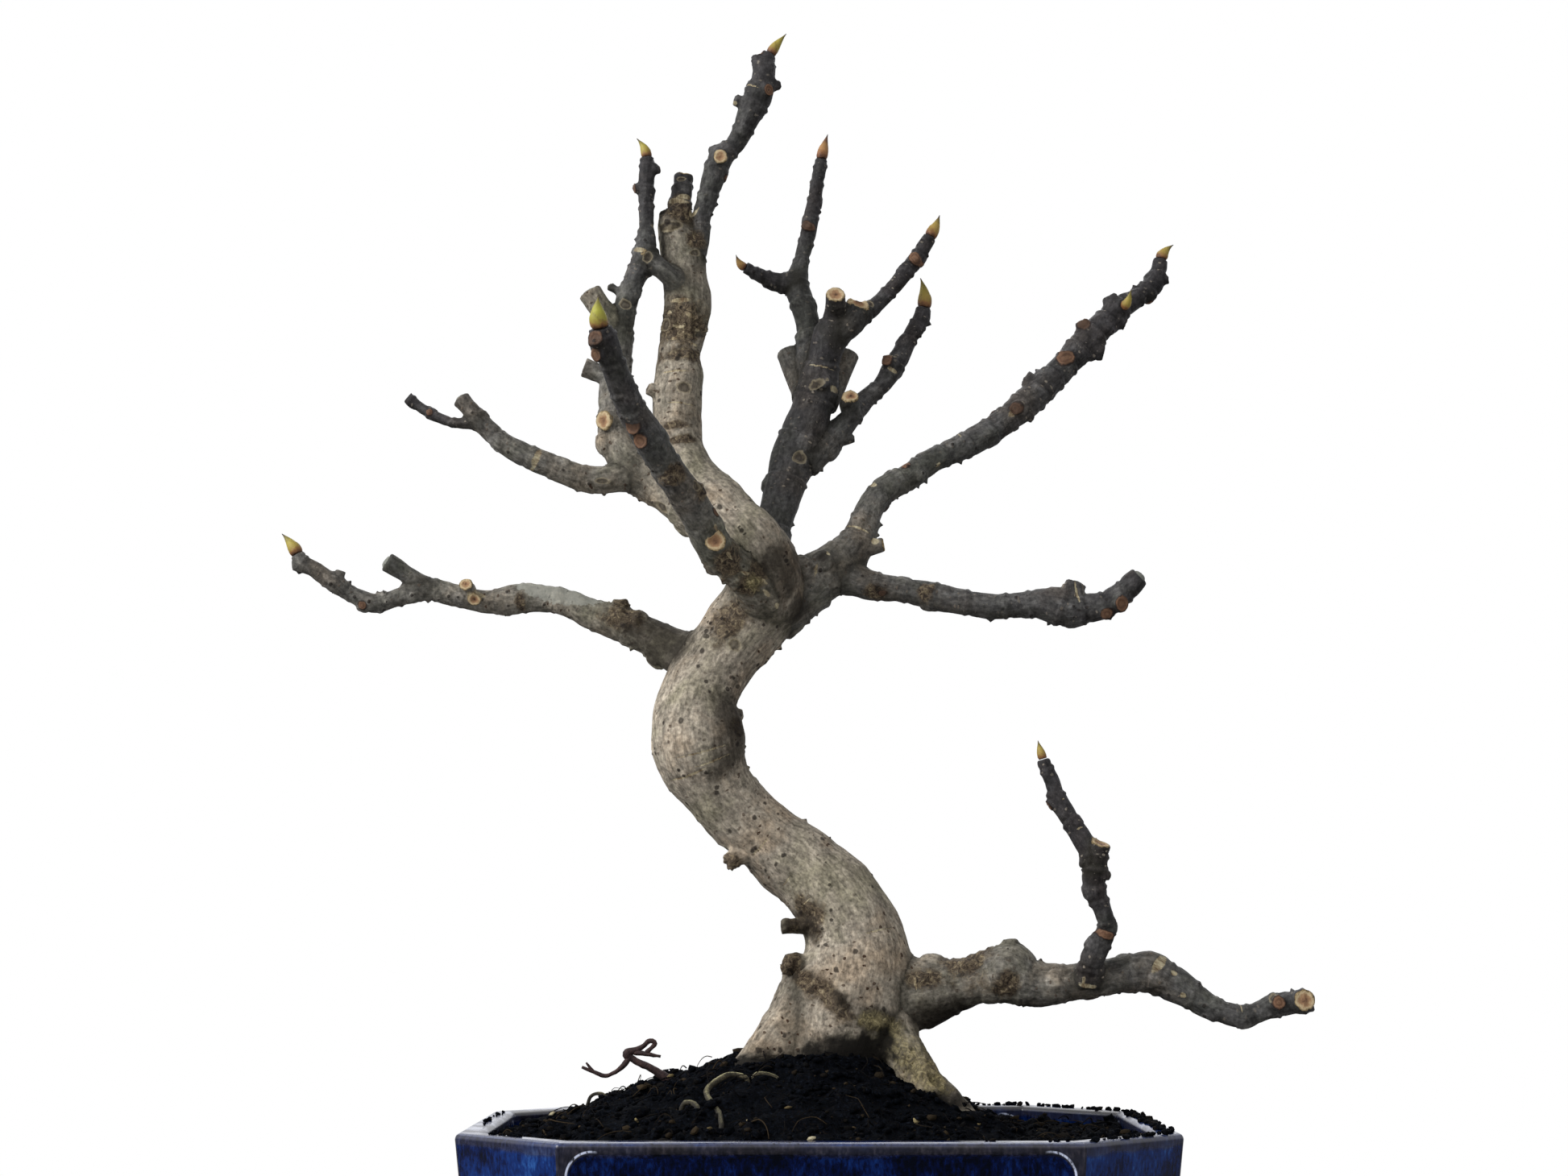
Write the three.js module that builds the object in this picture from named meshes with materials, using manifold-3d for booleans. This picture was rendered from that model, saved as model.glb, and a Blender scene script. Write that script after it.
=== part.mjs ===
// A leafless fig bonsai in a cobalt glazed pot, modelled in millimetres with +Z up.
// While it is being built, x = y = z = 0 is the middle of the pot's rim, so everything that
// stands above the rim has a positive z. The last lines move the origin to the foot plane.
import * as THREE from 'three';
import { mergeVertices } from 'three/addons/utils/BufferGeometryUtils.js';
import Module from 'manifold-3d';

const wasm = await Module();
wasm.setup();

// Driving dimensions of the pot, a rectangle with cut corners
const POT_WIDTH = 240;
const POT_DEPTH = 178;
const CORNER_CUT = 37;
const WALL_HEIGHT = 70;
const WALL_TAPER = 8;
const LIP_WIDTH = 9;
const LIP_ROUND = 2;
const WALL_BELOW = 7;
const SHOULDER_DEPTH = 12;
const BASE_ROUND = 2.4;
const FLOOR_THICK = 8;
const FOOT_HEIGHT = 8;
const FOOT_LENGTH = 26;
const FOOT_WIDTH = 12;
const FOOT_INSET = WALL_TAPER + 3;
const PANEL_DEPTH = 1.6;
const PANEL_MARGIN = 3;
const PANEL_CORNER = 8;
const DRAIN_RADIUS = 11;
const DRAIN_X = 52;

// Seat gap between pieces that touch on the real plant
const GAP = 0.3;

// Heights that follow from the pot
const FLOOR_Z = -WALL_HEIGHT + FLOOR_THICK;
const UNDERSIDE_Z = -WALL_HEIGHT;

// Finishes, as colours and gloss only
const finish = (color, roughness, metalness = 0) =>
  new THREE.MeshStandardMaterial({ color, roughness, metalness });
const OLD_BARK = finish(0x8a8278, 0.85);
const BUD_SCALE = finish(0xb59b3c, 0.5);
const GLAZE = finish(0x123a8c, 0.15);
const COMPOST = finish(0x14130f, 0.98);
const ROOT_SKIN = finish(0xa8a383, 0.75);
const DEAD_WOOD = finish(0x5a3a34, 0.85);
const MESH_PLASTIC = finish(0x1c1c1c, 0.6);
const WIRE_METAL = finish(0x9a8f84, 0.4, 0.9);

const V = (x, y, z) => new THREE.Vector3(x, y, z);

// Every random draw comes from one of these small seeded generators
function seeded(seed) {
  let state = seed >>> 0;
  return () => {
    state = (state + 0x6d2b79f5) >>> 0;
    let mixed = Math.imul(state ^ (state >>> 15), 1 | state);
    mixed = (mixed + Math.imul(mixed ^ (mixed >>> 7), 61 | mixed)) ^ mixed;
    return ((mixed ^ (mixed >>> 14)) >>> 0) / 4294967296;
  };
}

// A closed skin through rings of points that all have the same count. It is a cylinder whose
// rows are moved onto the rings; each ring runs anticlockwise, seen from the last ring's side.
function loft(rings) {
  const columns = rings[0].length;
  const rows = rings.length - 1;
  const geometry = new THREE.CylinderGeometry(1, 1, 1, columns, rows);
  const middles = rings.map((ring) =>
    ring.reduce((sum, point) => sum.add(point), V(0, 0, 0)).divideScalar(columns));
  const position = geometry.getAttribute('position');
  for (let i = 0; i < position.count; i += 1) {
    const row = Math.round((position.getY(i) + 0.5) * rows);
    const turn = Math.atan2(position.getX(i), position.getZ(i)) / (2 * Math.PI);
    const column = (Math.round(turn * columns) + columns) % columns;
    const onAxis = Math.hypot(position.getX(i), position.getZ(i)) < 0.5;
    const target = onAxis ? middles[row] : rings[row][column];
    position.setXYZ(i, target.x, target.y, target.z);
  }
  return geometry;
}

// Joining and cutting: a closed geometry becomes a solid, and a solid a geometry again
function solid(geometry) {
  const bare = geometry.clone();
  bare.deleteAttribute('normal');
  bare.deleteAttribute('uv');
  const merged = mergeVertices(bare, 1e-4);
  return new wasm.Manifold(new wasm.Mesh({
    numProp: 3,
    vertProperties: merged.getAttribute('position').array,
    triVerts: Uint32Array.from(merged.getIndex().array),
  }));
}

function skin(body) {
  const mesh = body.getMesh();
  const geometry = new THREE.BufferGeometry();
  geometry.setAttribute('position', new THREE.BufferAttribute(mesh.vertProperties, 3));
  geometry.setIndex(new THREE.BufferAttribute(mesh.triVerts, 1));
  geometry.computeVertexNormals();
  return geometry;
}

const join = (bodies) => bodies.reduce((whole, body) => whole.add(body));

const part = new THREE.Group();

function place(name, geometry, material) {
  const mesh = new THREE.Mesh(geometry, material);
  mesh.name = name;
  part.add(mesh);
  return mesh;
}

// Limbs: a route is a list of [x, y, z, radius]. Stations are laid along a smooth curve through
// it, each with a frame that turns as little as possible.
function stations(route, perSpan) {
  const curve = new THREE.CatmullRomCurve3(
    route.map(([x, y, z]) => V(x, y, z)), false, 'catmullrom', 0.5);
  const spans = route.length - 1;
  const list = [];
  let side = null;
  for (let i = 0; i <= spans * perSpan; i += 1) {
    const t = i / (spans * perSpan);
    const along = curve.getTangent(t).normalize();
    if (side === null) {
      const away = Math.abs(along.z) < 0.9 ? V(0, 0, 1) : V(0, 1, 0);
      side = away.cross(along).normalize();
    }
    side = side.clone().addScaledVector(along, -side.dot(along)).normalize();
    const span = Math.min(Math.floor(i / perSpan), spans - 1);
    const share = i / perSpan - span;
    const radius = route[span][3] * (1 - share) + route[span + 1][3] * share;
    list.push({
      at: curve.getPoint(t), along, side, up: along.clone().cross(side), radius,
    });
  }
  return list;
}

// The section of old wood is never quite round: a few shallow lobes drift along the limb
function limb(route, { sides = 8, perSpan = 1, lobes = 0.05, grow = 0 } = {}) {
  const rings = stations(route, perSpan).map(({ at, side, up, radius }, i) => {
    const ring = [];
    for (let k = 0; k < sides; k += 1) {
      const angle = (k / sides) * 2 * Math.PI;
      const swell = 1 + lobes * Math.cos(3 * angle + i * 0.35) + lobes * Math.sin(2 * angle - i * 0.2);
      const r = radius * swell + grow;
      ring.push(at.clone()
        .addScaledVector(side, r * Math.cos(angle))
        .addScaledVector(up, r * Math.sin(angle)));
    }
    return ring;
  });
  return loft(rings);
}

// The trunk winds up from the soil in an S, fattest at the outer bend and at the crotch
const TRUNK = [
  [4, 2, -22, 17], [4, 1, 0, 19], [6, 0, 22, 21.6], [10, 0, 38, 22.6], [13.6, 0, 51, 20.6],
  [13.2, 1, 63, 17.8], [8.6, 2, 74, 16.2], [1, 3, 83.4, 14.8], [-8.8, 4, 91.6, 13.8],
  [-20.2, 3, 101, 12.8], [-29.6, 1, 109.4, 12.8], [-37, -1, 119.2, 14], [-41.6, -3, 130, 16.6],
  [-42.8, -3, 140, 16], [-42, -2, 149.4, 14], [-37.4, -1, 158.6, 13], [-31.4, 0, 167, 13.4],
  [-25, 1, 175.8, 14.2], [-19.7, 1, 183, 13.6],
];

// The leader leaves the crotch towards the front, bends back over itself and runs up
const LEADER = [
  [-19.7, 0, 183, 13], [-17.2, -8, 189.2, 12], [-18.6, -16, 197, 11.6],
  [-25, -19, 205.2, 11], [-34, -15, 214.8, 10.4], [-43.4, -10, 224.6, 9.8],
  [-49.2, -6, 237, 9.2], [-50.6, -3, 251, 9], [-50, -1, 264.2, 9], [-50, 0, 274.7, 7.8],
  [-48.6, 1, 282.2, 8.4], [-47.2, 2, 293.7, 8.6], [-48.4, 3, 304.6, 8.1], [-49.4, 3, 312.6, 7.6],
  [-51.4, 3, 322, 6.5], [-51.6, 3, 328.4, 6.1],
];
const LEADER_STUB = [[-51, 3, 325, 4.4], [-49.4, 3, 337, 3.9], [-48.8, 3, 343.8, 3.6]];

// The shoot that carries the highest bud
const TOP_SHOOT = [
  [-47, 3, 308, 4.8], [-42.8, 3, 319.5, 3.8], [-41.6, 2, 329, 3.5], [-38.2, 1, 341, 4.1],
  [-35.4, 0, 349, 4.6], [-29.4, 0, 355.5, 3.7], [-25.2, -1, 364, 4.5], [-22, -2, 371, 5.3],
  [-19.4, -2, 377.5, 4.7], [-18.8, -2, 385, 4], [-16.8, -2, 389, 2.4],
];

// The light limb behind the front branch, and the dark shoot above its knot
const LEFT_LIMB = [
  [-31, -13, 206.6, 9.2], [-42.4, -12, 212.8, 8.4], [-52.4, -9, 221, 7.8], [-61, -7, 228, 8],
  [-68, -6, 235.5, 7.8], [-71.8, -5, 244.7, 7], [-73.2, -5, 255, 5.8], [-72.4, -5, 269, 5.3],
  [-71, -5, 282.4, 4.8], [-68.8, -5, 294, 4.1], [-66.4, -5, 302, 4.1], [-62.4, -5, 310.4, 4.6],
  [-62.2, -5, 319, 3.1], [-62.1, -5, 327.4, 2.8], [-62.3, -5, 337, 3.2], [-62.1, -5, 344.2, 2.8],
  [-62.2, -5, 348, 2.7],
];
const CROSS_LIMB = [[-49, -1, 300, 4.4], [-55.5, -6, 305, 3.8], [-62, -6, 310, 3.8]];
const OLD_GREY_STUB = [[-71.6, -5, 282.6, 4], [-78.2, -8, 290.2, 4.2], [-82.8, -9, 297, 4.6]];

// The branch that reaches out to the left, high up, and its thin side shoot
const UPPER_LEFT = [
  [-65, -8, 228.8, 5.6], [-76.4, -9, 226.6, 5.1], [-86.4, -10, 227.8, 4.6], [-96.5, -11, 231.9, 4.4],
  [-105.2, -12, 235.4, 4.2], [-113.4, -13, 240.2, 3.6], [-120.3, -14, 246.6, 3.4],
  [-124.8, -14, 252, 3.1], [-128.3, -14, 255.9, 3.5],
];
const UPPER_LEFT_SIDE = [
  [-120, -14, 246.6, 2.6], [-130, -13, 246.7, 1.9], [-137.5, -12, 249.5, 1.9],
  [-143.5, -11, 253.3, 1.9], [-147.4, -11, 256.4, 2.2],
];

// The branch that comes forward, across the leader, with the fattest bud
const FRONT_BRANCH = [
  [-18.5, -4, 180.7, 6.8], [-21.2, -18, 185.6, 6.8], [-28, -28, 191, 6.2], [-34.9, -36, 196.7, 6.5],
  [-40.7, -46, 206.4, 5.9], [-46.5, -55, 214.7, 5.8], [-52.8, -63, 223.2, 5.5],
  [-58.4, -71, 231.5, 5.6], [-63.3, -79, 240, 4.7], [-67.2, -87, 249, 4.4], [-70.6, -93, 257, 4.6],
  [-71.6, -95, 260.6, 3.8],
];

// The dark limb behind the elbow, with the shoots that fan out from it
const BACK_LIMB = [
  [-14.6, 8, 198, 6.8], [-15.2, 14, 214, 6.3], [-12, 18, 227.4, 7.4], [-8.2, 21, 241, 8],
  [-3.4, 22, 254.6, 8], [0.6, 22, 266, 7.2], [3.1, 21, 276.5, 6.2], [5.8, 20, 287.3, 6.3],
  [7.3, 18, 294.6, 4.3], [7.5, 15, 299, 4],
];
const BACK_CUT_STUB = [[6, 20, 286, 5], [13.2, 19, 292, 4.9], [15.8, 20, 299.4, 3.9]];
const BACK_RIGHT_SHOOT = [
  [12, 20, 291, 4.4], [19.4, 22, 296.6, 3.7], [25.6, 24, 302.4, 2.9], [32, 26, 310.2, 3],
  [38.4, 27, 318.8, 3.1], [43.8, 28, 327.6, 2.6],
];
const BACK_LEFT_SHOOT = [
  [-0.8, 25, 269, 5.4], [-2, 28, 284.6, 4.7], [-2.6, 30, 294.6, 4.7], [-5.3, 32, 304.6, 4.8],
  [-6.3, 34, 313, 4], [-4.6, 35, 322, 3], [-1.8, 35, 334, 3.2], [0.2, 36, 346, 2.7],
  [2.2, 36, 356.8, 2.6], [2.9, 36, 361, 2.4],
];
const SMALL_LEFT_SHOOT = [
  [-6.2, 33, 310.7, 3.8], [-14.8, 32, 311.3, 3.6], [-21, 30, 313.4, 2.7], [-26.3, 28, 315.7, 2.2],
];
const BACK_OLD_STUB_LEFT = [[-4.2, 25, 265, 4.4], [-7.6, 31, 276, 4.3], [-10, 34, 285, 4.9]];
const BACK_OLD_STUB_RIGHT = [[4, 25, 261, 4.2], [9.2, 31, 274, 4.2], [12.4, 34, 284.4, 5]];
const SUB_BRANCH = [
  [-4, 21, 239, 6.3], [5.6, 24, 248, 5.2], [13, 26, 256.4, 4], [18.2, 28, 263.6, 3.7],
  [25.4, 30, 270.6, 3.4], [30.4, 32, 279, 4], [35.8, 34, 288.8, 3.3], [40.6, 35, 297, 3.4],
  [41.8, 35, 301.8, 2.9],
];

// The long branch on the right and the level one below it, which share one thick base
const RIGHT_LONG = [
  [-19, 2, 181, 12.2], [-8, 4, 187.8, 11.2], [3.2, 6, 195, 9.3], [12.6, 8, 202.8, 7.2],
  [17, 10, 211.4, 5.8], [20.8, 12, 221, 5.3], [26, 14, 227.8, 4.9], [34.8, 17, 232.8, 4.7],
  [45.2, 20, 240.4, 4.8], [57.4, 23, 246.6, 4.9], [67.4, 26, 253, 5], [77.6, 29, 261.6, 5.6],
  [86.2, 32, 270, 5.3], [94.7, 35, 278.6, 5.2], [103.6, 38, 288.8, 5.7], [111.2, 40, 296.6, 5.2],
  [116.8, 42, 302.7, 5.1], [124.9, 44, 308.2, 3.8], [131.7, 46, 314.3, 4.1], [133.8, 47, 320.2, 3.1],
  [134.8, 47, 324.3, 2.7],
];
const RIGHT_LOW = [
  [6, 6, 195.6, 7], [19.7, 4, 190.2, 5.6], [30, 2, 188.3, 4.7], [40, 0, 186.2, 5.1],
  [51.4, -2, 183.7, 4.7], [62.8, -4, 181.4, 4.7], [73.6, -6, 181.7, 4.4], [82, -8, 181.8, 5.9],
  [89.8, -9, 179.4, 6.7], [96.8, -10, 179.8, 5.4], [102.8, -12, 181, 5.1],
  [108.4, -14, 184.5, 4.4], [112.4, -15, 188.6, 4.1], [115.2, -16, 191.2, 3.6],
];

// The lowest branch on the left, with old wood near the trunk and a young tip
const LOWER_LEFT = [
  [-37, 3, 163.2, 8], [-50.5, 5, 166.2, 7.8], [-60.8, 7, 172.2, 6.6], [-71.2, 9, 176.9, 6.4],
  [-80.8, 10, 180.2, 5.6], [-90.6, 11, 184.6, 4.8], [-101, 12, 186.6, 5], [-110.4, 12, 186, 5.4],
  [-120.2, 12, 185.3, 4.2], [-129, 11, 186.5, 4], [-139.3, 10, 189.3, 3.9], [-146.4, 9, 188.8, 3.8],
  [-153.5, 8, 185.7, 3.2], [-160.6, 7, 184.1, 3.5], [-168.6, 6, 187.1, 3.1],
  [-173.8, 5, 190.6, 3.4], [-181, 4, 195.2, 3], [-186.4, 3, 198.3, 3.1], [-188.2, 3, 201.2, 2.8],
];
const LOWER_LEFT_STUB = [[-142, 10, 189.8, 3.6], [-149.8, 8, 195.4, 3.3], [-157, 6, 199.6, 3.7]];

// The old low branch on the right, sawn short, with a young shoot standing on it
const LOW_RIGHT = [
  [22, 0, 42.2, 13.8], [38.4, -3, 44.8, 12.2], [48.2, -5, 46.7, 9.5], [58, -7, 49.9, 8.9],
  [66.4, -9, 51.5, 10.5], [74.6, -11, 47.7, 8.5], [85.6, -13, 47.8, 6.6], [95.2, -15, 49.4, 6.3],
  [106, -17, 51.4, 6.3], [114.4, -18, 52.1, 7.1], [118.4, -19, 50.1, 6.3], [124.2, -20, 46.8, 6],
  [128.6, -21, 44, 5.1], [134.2, -22, 40.2, 4.2], [139.6, -23, 38.2, 3.7], [145, -23, 36.9, 4],
  [151, -23, 38.6, 3.4], [157, -24, 40.8, 4.3], [162.8, -25, 41.2, 3.6], [168.2, -27, 42, 3.9],
];
const STANDING_SHOOT = [
  [93.6, -18, 49, 5], [94.2, -23, 56.2, 4.3], [96.2, -25, 60.8, 4.2], [99, -26, 66.8, 3.4],
  [97.8, -27, 72.8, 3], [95, -28, 79.2, 3.9], [95, -29, 86.2, 3.8], [96.2, -30, 92.2, 3.8],
  [96.8, -31, 95.4, 3.6],
];
const STANDING_TIP = [
  [95, -29, 86.2, 3.4], [93, -29, 92.7, 3.5], [89.6, -28, 99.6, 3.3], [85.6, -27, 106.6, 3.3],
  [83, -26, 110.9, 3.4], [81, -25, 117.9, 2.7], [78.9, -25, 123, 2.6], [78.3, -25, 124.8, 2.2],
];

// Roots: two show above the soil, and the others spread out inside it
const RIGHT_ROOT = [
  [22, -4, 37, 11], [28.4, -12, 26, 8.2], [34.4, -18, 17, 6.8], [42.8, -22, 8.6, 6.2],
  [51.4, -26, 0, 5.6], [62, -31, -10, 4.6], [73, -36, -20, 3],
];
const LEFT_ROOT = [
  [1, -2, 41, 15], [-8.6, -6, 31.5, 11.2], [-18, -10, 22.4, 8.8], [-29, -14, 11, 7],
  [-41, -19, -1, 5.8], [-54, -25, -12, 4.4], [-64, -30, -22, 3],
];
const FRONT_ROOT = [
  [-1, -6, 24, 9], [3, -17, 13, 7], [5, -29, 2, 5.6], [4, -41, -10, 4.4], [2, -52, -22, 3],
];
const BACK_ROOT_LEFT = [
  [-2, 6, 30, 11], [-14, 18, 19, 8.6], [-25, 30, 6, 6.8], [-36, 42, -8, 5], [-46, 52, -22, 3],
];
const BACK_ROOT_RIGHT = [
  [14, 8, 30, 12], [24, 20, 19, 8.8], [34, 32, 6, 6.6], [44, 42, -8, 5], [52, 50, -22, 3],
];

// Old wood has many sides, young shoots few. The nub count is how many root nubs the limb has.
const LIMBS = [
  { route: TRUNK, sides: 16, nubs: 8 },
  { route: LEADER, sides: 12, nubs: 6 },
  { route: LEADER_STUB, sides: 8, nubs: 0 },
  { route: TOP_SHOOT, sides: 7, nubs: 4 },
  { route: LEFT_LIMB, sides: 8, nubs: 6 },
  { route: CROSS_LIMB, sides: 7, nubs: 0 },
  { route: OLD_GREY_STUB, sides: 8, nubs: 0 },
  { route: UPPER_LEFT, sides: 8, nubs: 6 },
  { route: UPPER_LEFT_SIDE, sides: 6, nubs: 0 },
  { route: FRONT_BRANCH, sides: 9, nubs: 4 },
  { route: BACK_LIMB, sides: 9, nubs: 7 },
  { route: BACK_CUT_STUB, sides: 8, nubs: 0 },
  { route: BACK_RIGHT_SHOOT, sides: 7, nubs: 3 },
  { route: BACK_LEFT_SHOOT, sides: 7, nubs: 3 },
  { route: SMALL_LEFT_SHOOT, sides: 7, nubs: 1 },
  { route: BACK_OLD_STUB_LEFT, sides: 8, nubs: 0 },
  { route: BACK_OLD_STUB_RIGHT, sides: 8, nubs: 0 },
  { route: SUB_BRANCH, sides: 7, nubs: 4 },
  { route: RIGHT_LONG, sides: 9, nubs: 10 },
  { route: RIGHT_LOW, sides: 8, nubs: 6 },
  { route: LOWER_LEFT, sides: 8, nubs: 10 },
  { route: LOWER_LEFT_STUB, sides: 7, nubs: 0 },
  { route: LOW_RIGHT, sides: 9, nubs: 12 },
  { route: STANDING_SHOOT, sides: 8, nubs: 1 },
  { route: STANDING_TIP, sides: 7, nubs: 0 },
];
const ROOTS = [RIGHT_ROOT, LEFT_ROOT, FRONT_ROOT, BACK_ROOT_LEFT, BACK_ROOT_RIGHT];
const ROOT_SHAPE = { sides: 9, lobes: 0.07 };

// Short stubs and raised leaf scars: [from, to, first radius, last radius]
const STUBS = [
  [[-34.6, -36, 196.4], [-35.1, -46, 198.2], 3.6, 3.3],
  [[-60, -71, 231], [-61.6, -77, 231.6], 3.3, 3.1],
  [[-57.4, -70, 228], [-59.4, -75.6, 227], 3.2, 3],
  [[-70.6, -93, 256.4], [-73, -98, 256.6], 3.1, 3],
  [[-69.4, -91, 253], [-72.8, -94.6, 251.6], 2.6, 2.4],
  [[-72.2, -5, 249], [-76.4, -12.4, 247.6], 4, 3.6],
  [[-70.4, -5, 242], [-78, -8, 239.8], 3.4, 3],
  [[-72.6, -5, 264.6], [-84.4, -6, 268.8], 3.3, 3.7],
  [[-69.2, -5, 294.6], [-74.8, -6, 299.4], 1.5, 1.3],
  [[-53.8, -3, 258], [-60.6, -6, 261], 2.8, 2.2],
  [[-51.8, 2, 323.6], [-54.8, -4, 323.2], 3.4, 3],
  [[13, 8, 203], [24.6, 6, 205.4], 3.6, 2.6],
  [[3.2, 6, 195.4], [1.8, -5, 198.2], 4.3, 3.9],
  [[114.6, 41, 301.2], [113.6, 41, 307.6], 3.3, 2.8],
  [[113, 40, 299], [119.6, 40, 296.4], 3.2, 2.7],
  [[101, 37, 286], [110.4, 37, 284.8], 3.8, 3.2],
  [[86, 32, 270], [79.8, 32, 273.6], 3.4, 3],
  [[86, 32, 270], [90.8, 31, 267], 3.6, 3],
  [[77.4, 29, 262], [82.8, 29, 258.8], 3.7, 3],
  [[63, 25, 251], [64, 25, 246.2], 3.6, 2.8],
  [[77, 29, 262], [75.2, 23, 260.2], 3, 2.6],
  [[97, 36, 282], [96, 30.4, 281.4], 3.4, 3],
  [[105, 38, 291], [102.6, 37, 296.6], 3.2, 2.6],
  [[132, 46, 315], [137.6, 46, 315.8], 2.3, 1.6],
  [[13.8, 24, 257.4], [13.2, 17, 263], 3.7, 3.3],
  [[0.6, 22, 266], [2.6, 14, 268.6], 3.9, 3.3],
  [[7.6, 24, 247.6], [15, 24, 248.6], 2.4, 1.5],
  [[90, -9, 181], [93, -9, 189], 4.6, 3.6],
  [[103, -12, 181], [107.6, -20, 180], 3.3, 3],
  [[102, -12, 181], [102.6, -17.6, 176.8], 3.2, 2.8],
  [[-127, 11, 188], [-127, 4.8, 190.6], 2.7, 2.3],
  [[-124.4, 12, 186.6], [-124.2, 6.6, 185.4], 2.8, 2.4],
  [[-163.6, 6.6, 186], [-165, 5.6, 181], 2.3, 2],
  [[-186.2, 3, 197.4], [-190.2, 2, 196.8], 2, 1.7],
  [[-173.8, 5, 191], [-172.6, 5, 195.6], 2.2, 1.7],
  [[-71.6, 9, 180], [-71.2, 8, 185.4], 3.2, 2.6],
  [[66.4, -9, 54.1], [67.4, -9, 62.9], 6.6, 2.4],
  [[74, -11, 50], [79, -11, 55.4], 3, 1.4],
  [[157, -24, 40.8], [156.8, -29.2, 41.7], 3, 2.6],
  [[-27, -2, 93], [-32, -4, 89.4], 4.4, 3],
  [[0, -4, 68], [-12.6, -5, 67.4], 3.6, 2.8],
  [[-1, -7, 54.5], [-10.4, -9, 54.8], 3.3, 2.9],
  [[-32, -3, 142], [-26.4, -4, 142.8], 2.6, 1.7],
  [[83.4, -26, 111], [79.8, -26, 108.8], 2.4, 2],
  [[95, -29, 85], [99.8, -29, 84.4], 1.5, 1.1],
  [[94, -29, 89], [90.4, -30, 89.4], 1.6, 1.2],
  [[-62.3, -5, 337], [-66.8, -6, 336.2], 2.5, 2.2],
  [[-61.8, -5, 343], [-57.9, -6, 343.8], 2.1, 1.8],
  [[-36.2, 0, 349.6], [-37.6, 0, 354], 2.8, 2.2],
  [[-35.4, 0, 348.6], [-35, -5.6, 348.4], 2.9, 2.6],
  [[-23.6, -2, 369], [-30, -2, 371.4], 2.6, 2],
  [[-19.6, -2, 376], [-12.6, -2, 377.6], 2.4, 1.6],
  [[-20, -2, 382.4], [-20.9, -2, 388.6], 3.3, 2.8],
  [[-21, -2, 373], [-17, -7, 373.4], 2.7, 2.4],
  [[30.4, 31, 277.8], [27.4, 26.8, 279.6], 3, 2.5],
  [[38.6, 27, 318], [37.4, 22.9, 318.6], 2.5, 2.2],
  [[-2, 35, 333.4], [-3.2, 31.2, 333.4], 2.4, 2.1],
];

// A bud sits on a small seat of its own on the side of the long right branch
const SIDE_BUD_SEAT = [[116, 41, 302, 3.4], [118.4, 36.6, 302.8, 2.8]];

// Root nubs: short pointed bumps, mostly on the lower side of a limb
const NUB_RADIUS = 1;
const NUB_HEIGHT = 1.5;
const NUB_SUNK = 1;

function nubs(route, count, random) {
  const places = stations(route, 4);
  const list = [];
  while (list.length < count) {
    const { at, side, up, radius } = places[Math.floor((0.1 + 0.82 * random()) * places.length)];
    const angle = random() * 2 * Math.PI;
    const outward = side.clone().multiplyScalar(Math.cos(angle)).addScaledVector(up, Math.sin(angle));
    const size = 0.8 + 0.5 * random();
    if (outward.z < 0.15) {
      const height = (NUB_HEIGHT + NUB_SUNK) * size;
      const cone = new THREE.ConeGeometry(NUB_RADIUS * size, height, 4);
      cone.translate(0, height / 2 - NUB_SUNK, 0);
      cone.applyQuaternion(new THREE.Quaternion().setFromUnitVectors(V(0, 1, 0), outward));
      const foot = at.clone().addScaledVector(outward, radius * 0.96);
      list.push(solid(cone.translate(foot.x, foot.y, foot.z)));
    }
  }
  return list;
}

const stubRoute = ([from, to, first, last]) => [[...from, first], [...to, last]];
const STUB_SHAPE = { sides: 6, lobes: 0.03 };

const nubRandom = seeded(11);
const tree = join([
  ...LIMBS.map(({ route, ...shape }) => solid(limb(route, shape))),
  ...ROOTS.map((route) => solid(limb(route, ROOT_SHAPE))),
  ...STUBS.map((entry) => solid(limb(stubRoute(entry), STUB_SHAPE))),
  solid(limb(SIDE_BUD_SEAT, STUB_SHAPE)),
  ...LIMBS.flatMap(({ route, nubs: count }) => nubs(route, count, nubRandom)),
]);
place('tree', skin(tree), OLD_BARK);

// Buds: each is a pointed cone of closed scales on the end of its shoot, bent towards a lean
const BUDS = [
  { name: 'bud_top', on: TOP_SHOOT, length: 8.4, radius: 2, lean: [1.6, 0, 0.6] },
  { name: 'bud_left_top', on: LEFT_LIMB, length: 7.2, radius: 2, lean: [-3.4, 0, 0] },
  { name: 'bud_back_left', on: BACK_LEFT_SHOOT, length: 10, radius: 2.2, lean: [0.8, 0, 0] },
  { name: 'bud_small_left', on: SMALL_LEFT_SHOOT, length: 5.4, radius: 1.7, lean: [1.4, 0, 2.4] },
  { name: 'bud_back_right', on: BACK_RIGHT_SHOOT, length: 9.4, radius: 2.4, lean: [-1, 0, 0.8] },
  { name: 'bud_sub_branch', on: SUB_BRANCH, length: 11, radius: 2.7, lean: [-3.2, 0, 0.6] },
  { name: 'bud_right_long', on: RIGHT_LONG, length: 6.6, radius: 2.3, lean: [3.4, 0, -0.8] },
  { name: 'bud_right_side', on: SIDE_BUD_SEAT, length: 5.6, radius: 1.9, lean: [-0.4, 0.4, 4.8] },
  { name: 'bud_front', on: FRONT_BRANCH, length: 10, radius: 3.1, lean: [1.6, 2.4, 1] },
  { name: 'bud_lower_left', on: LOWER_LEFT, length: 9, radius: 2.4, lean: [-2, 0, -0.6] },
  { name: 'bud_standing', on: STANDING_TIP, length: 6.4, radius: 1.6, lean: [0.2, 0, 0.2] },
];
const BUD_PROFILE = [[0, 0.86], [0.14, 1], [0.36, 0.92], [0.62, 0.58], [0.86, 0.2], [1, 0.05]];

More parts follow.
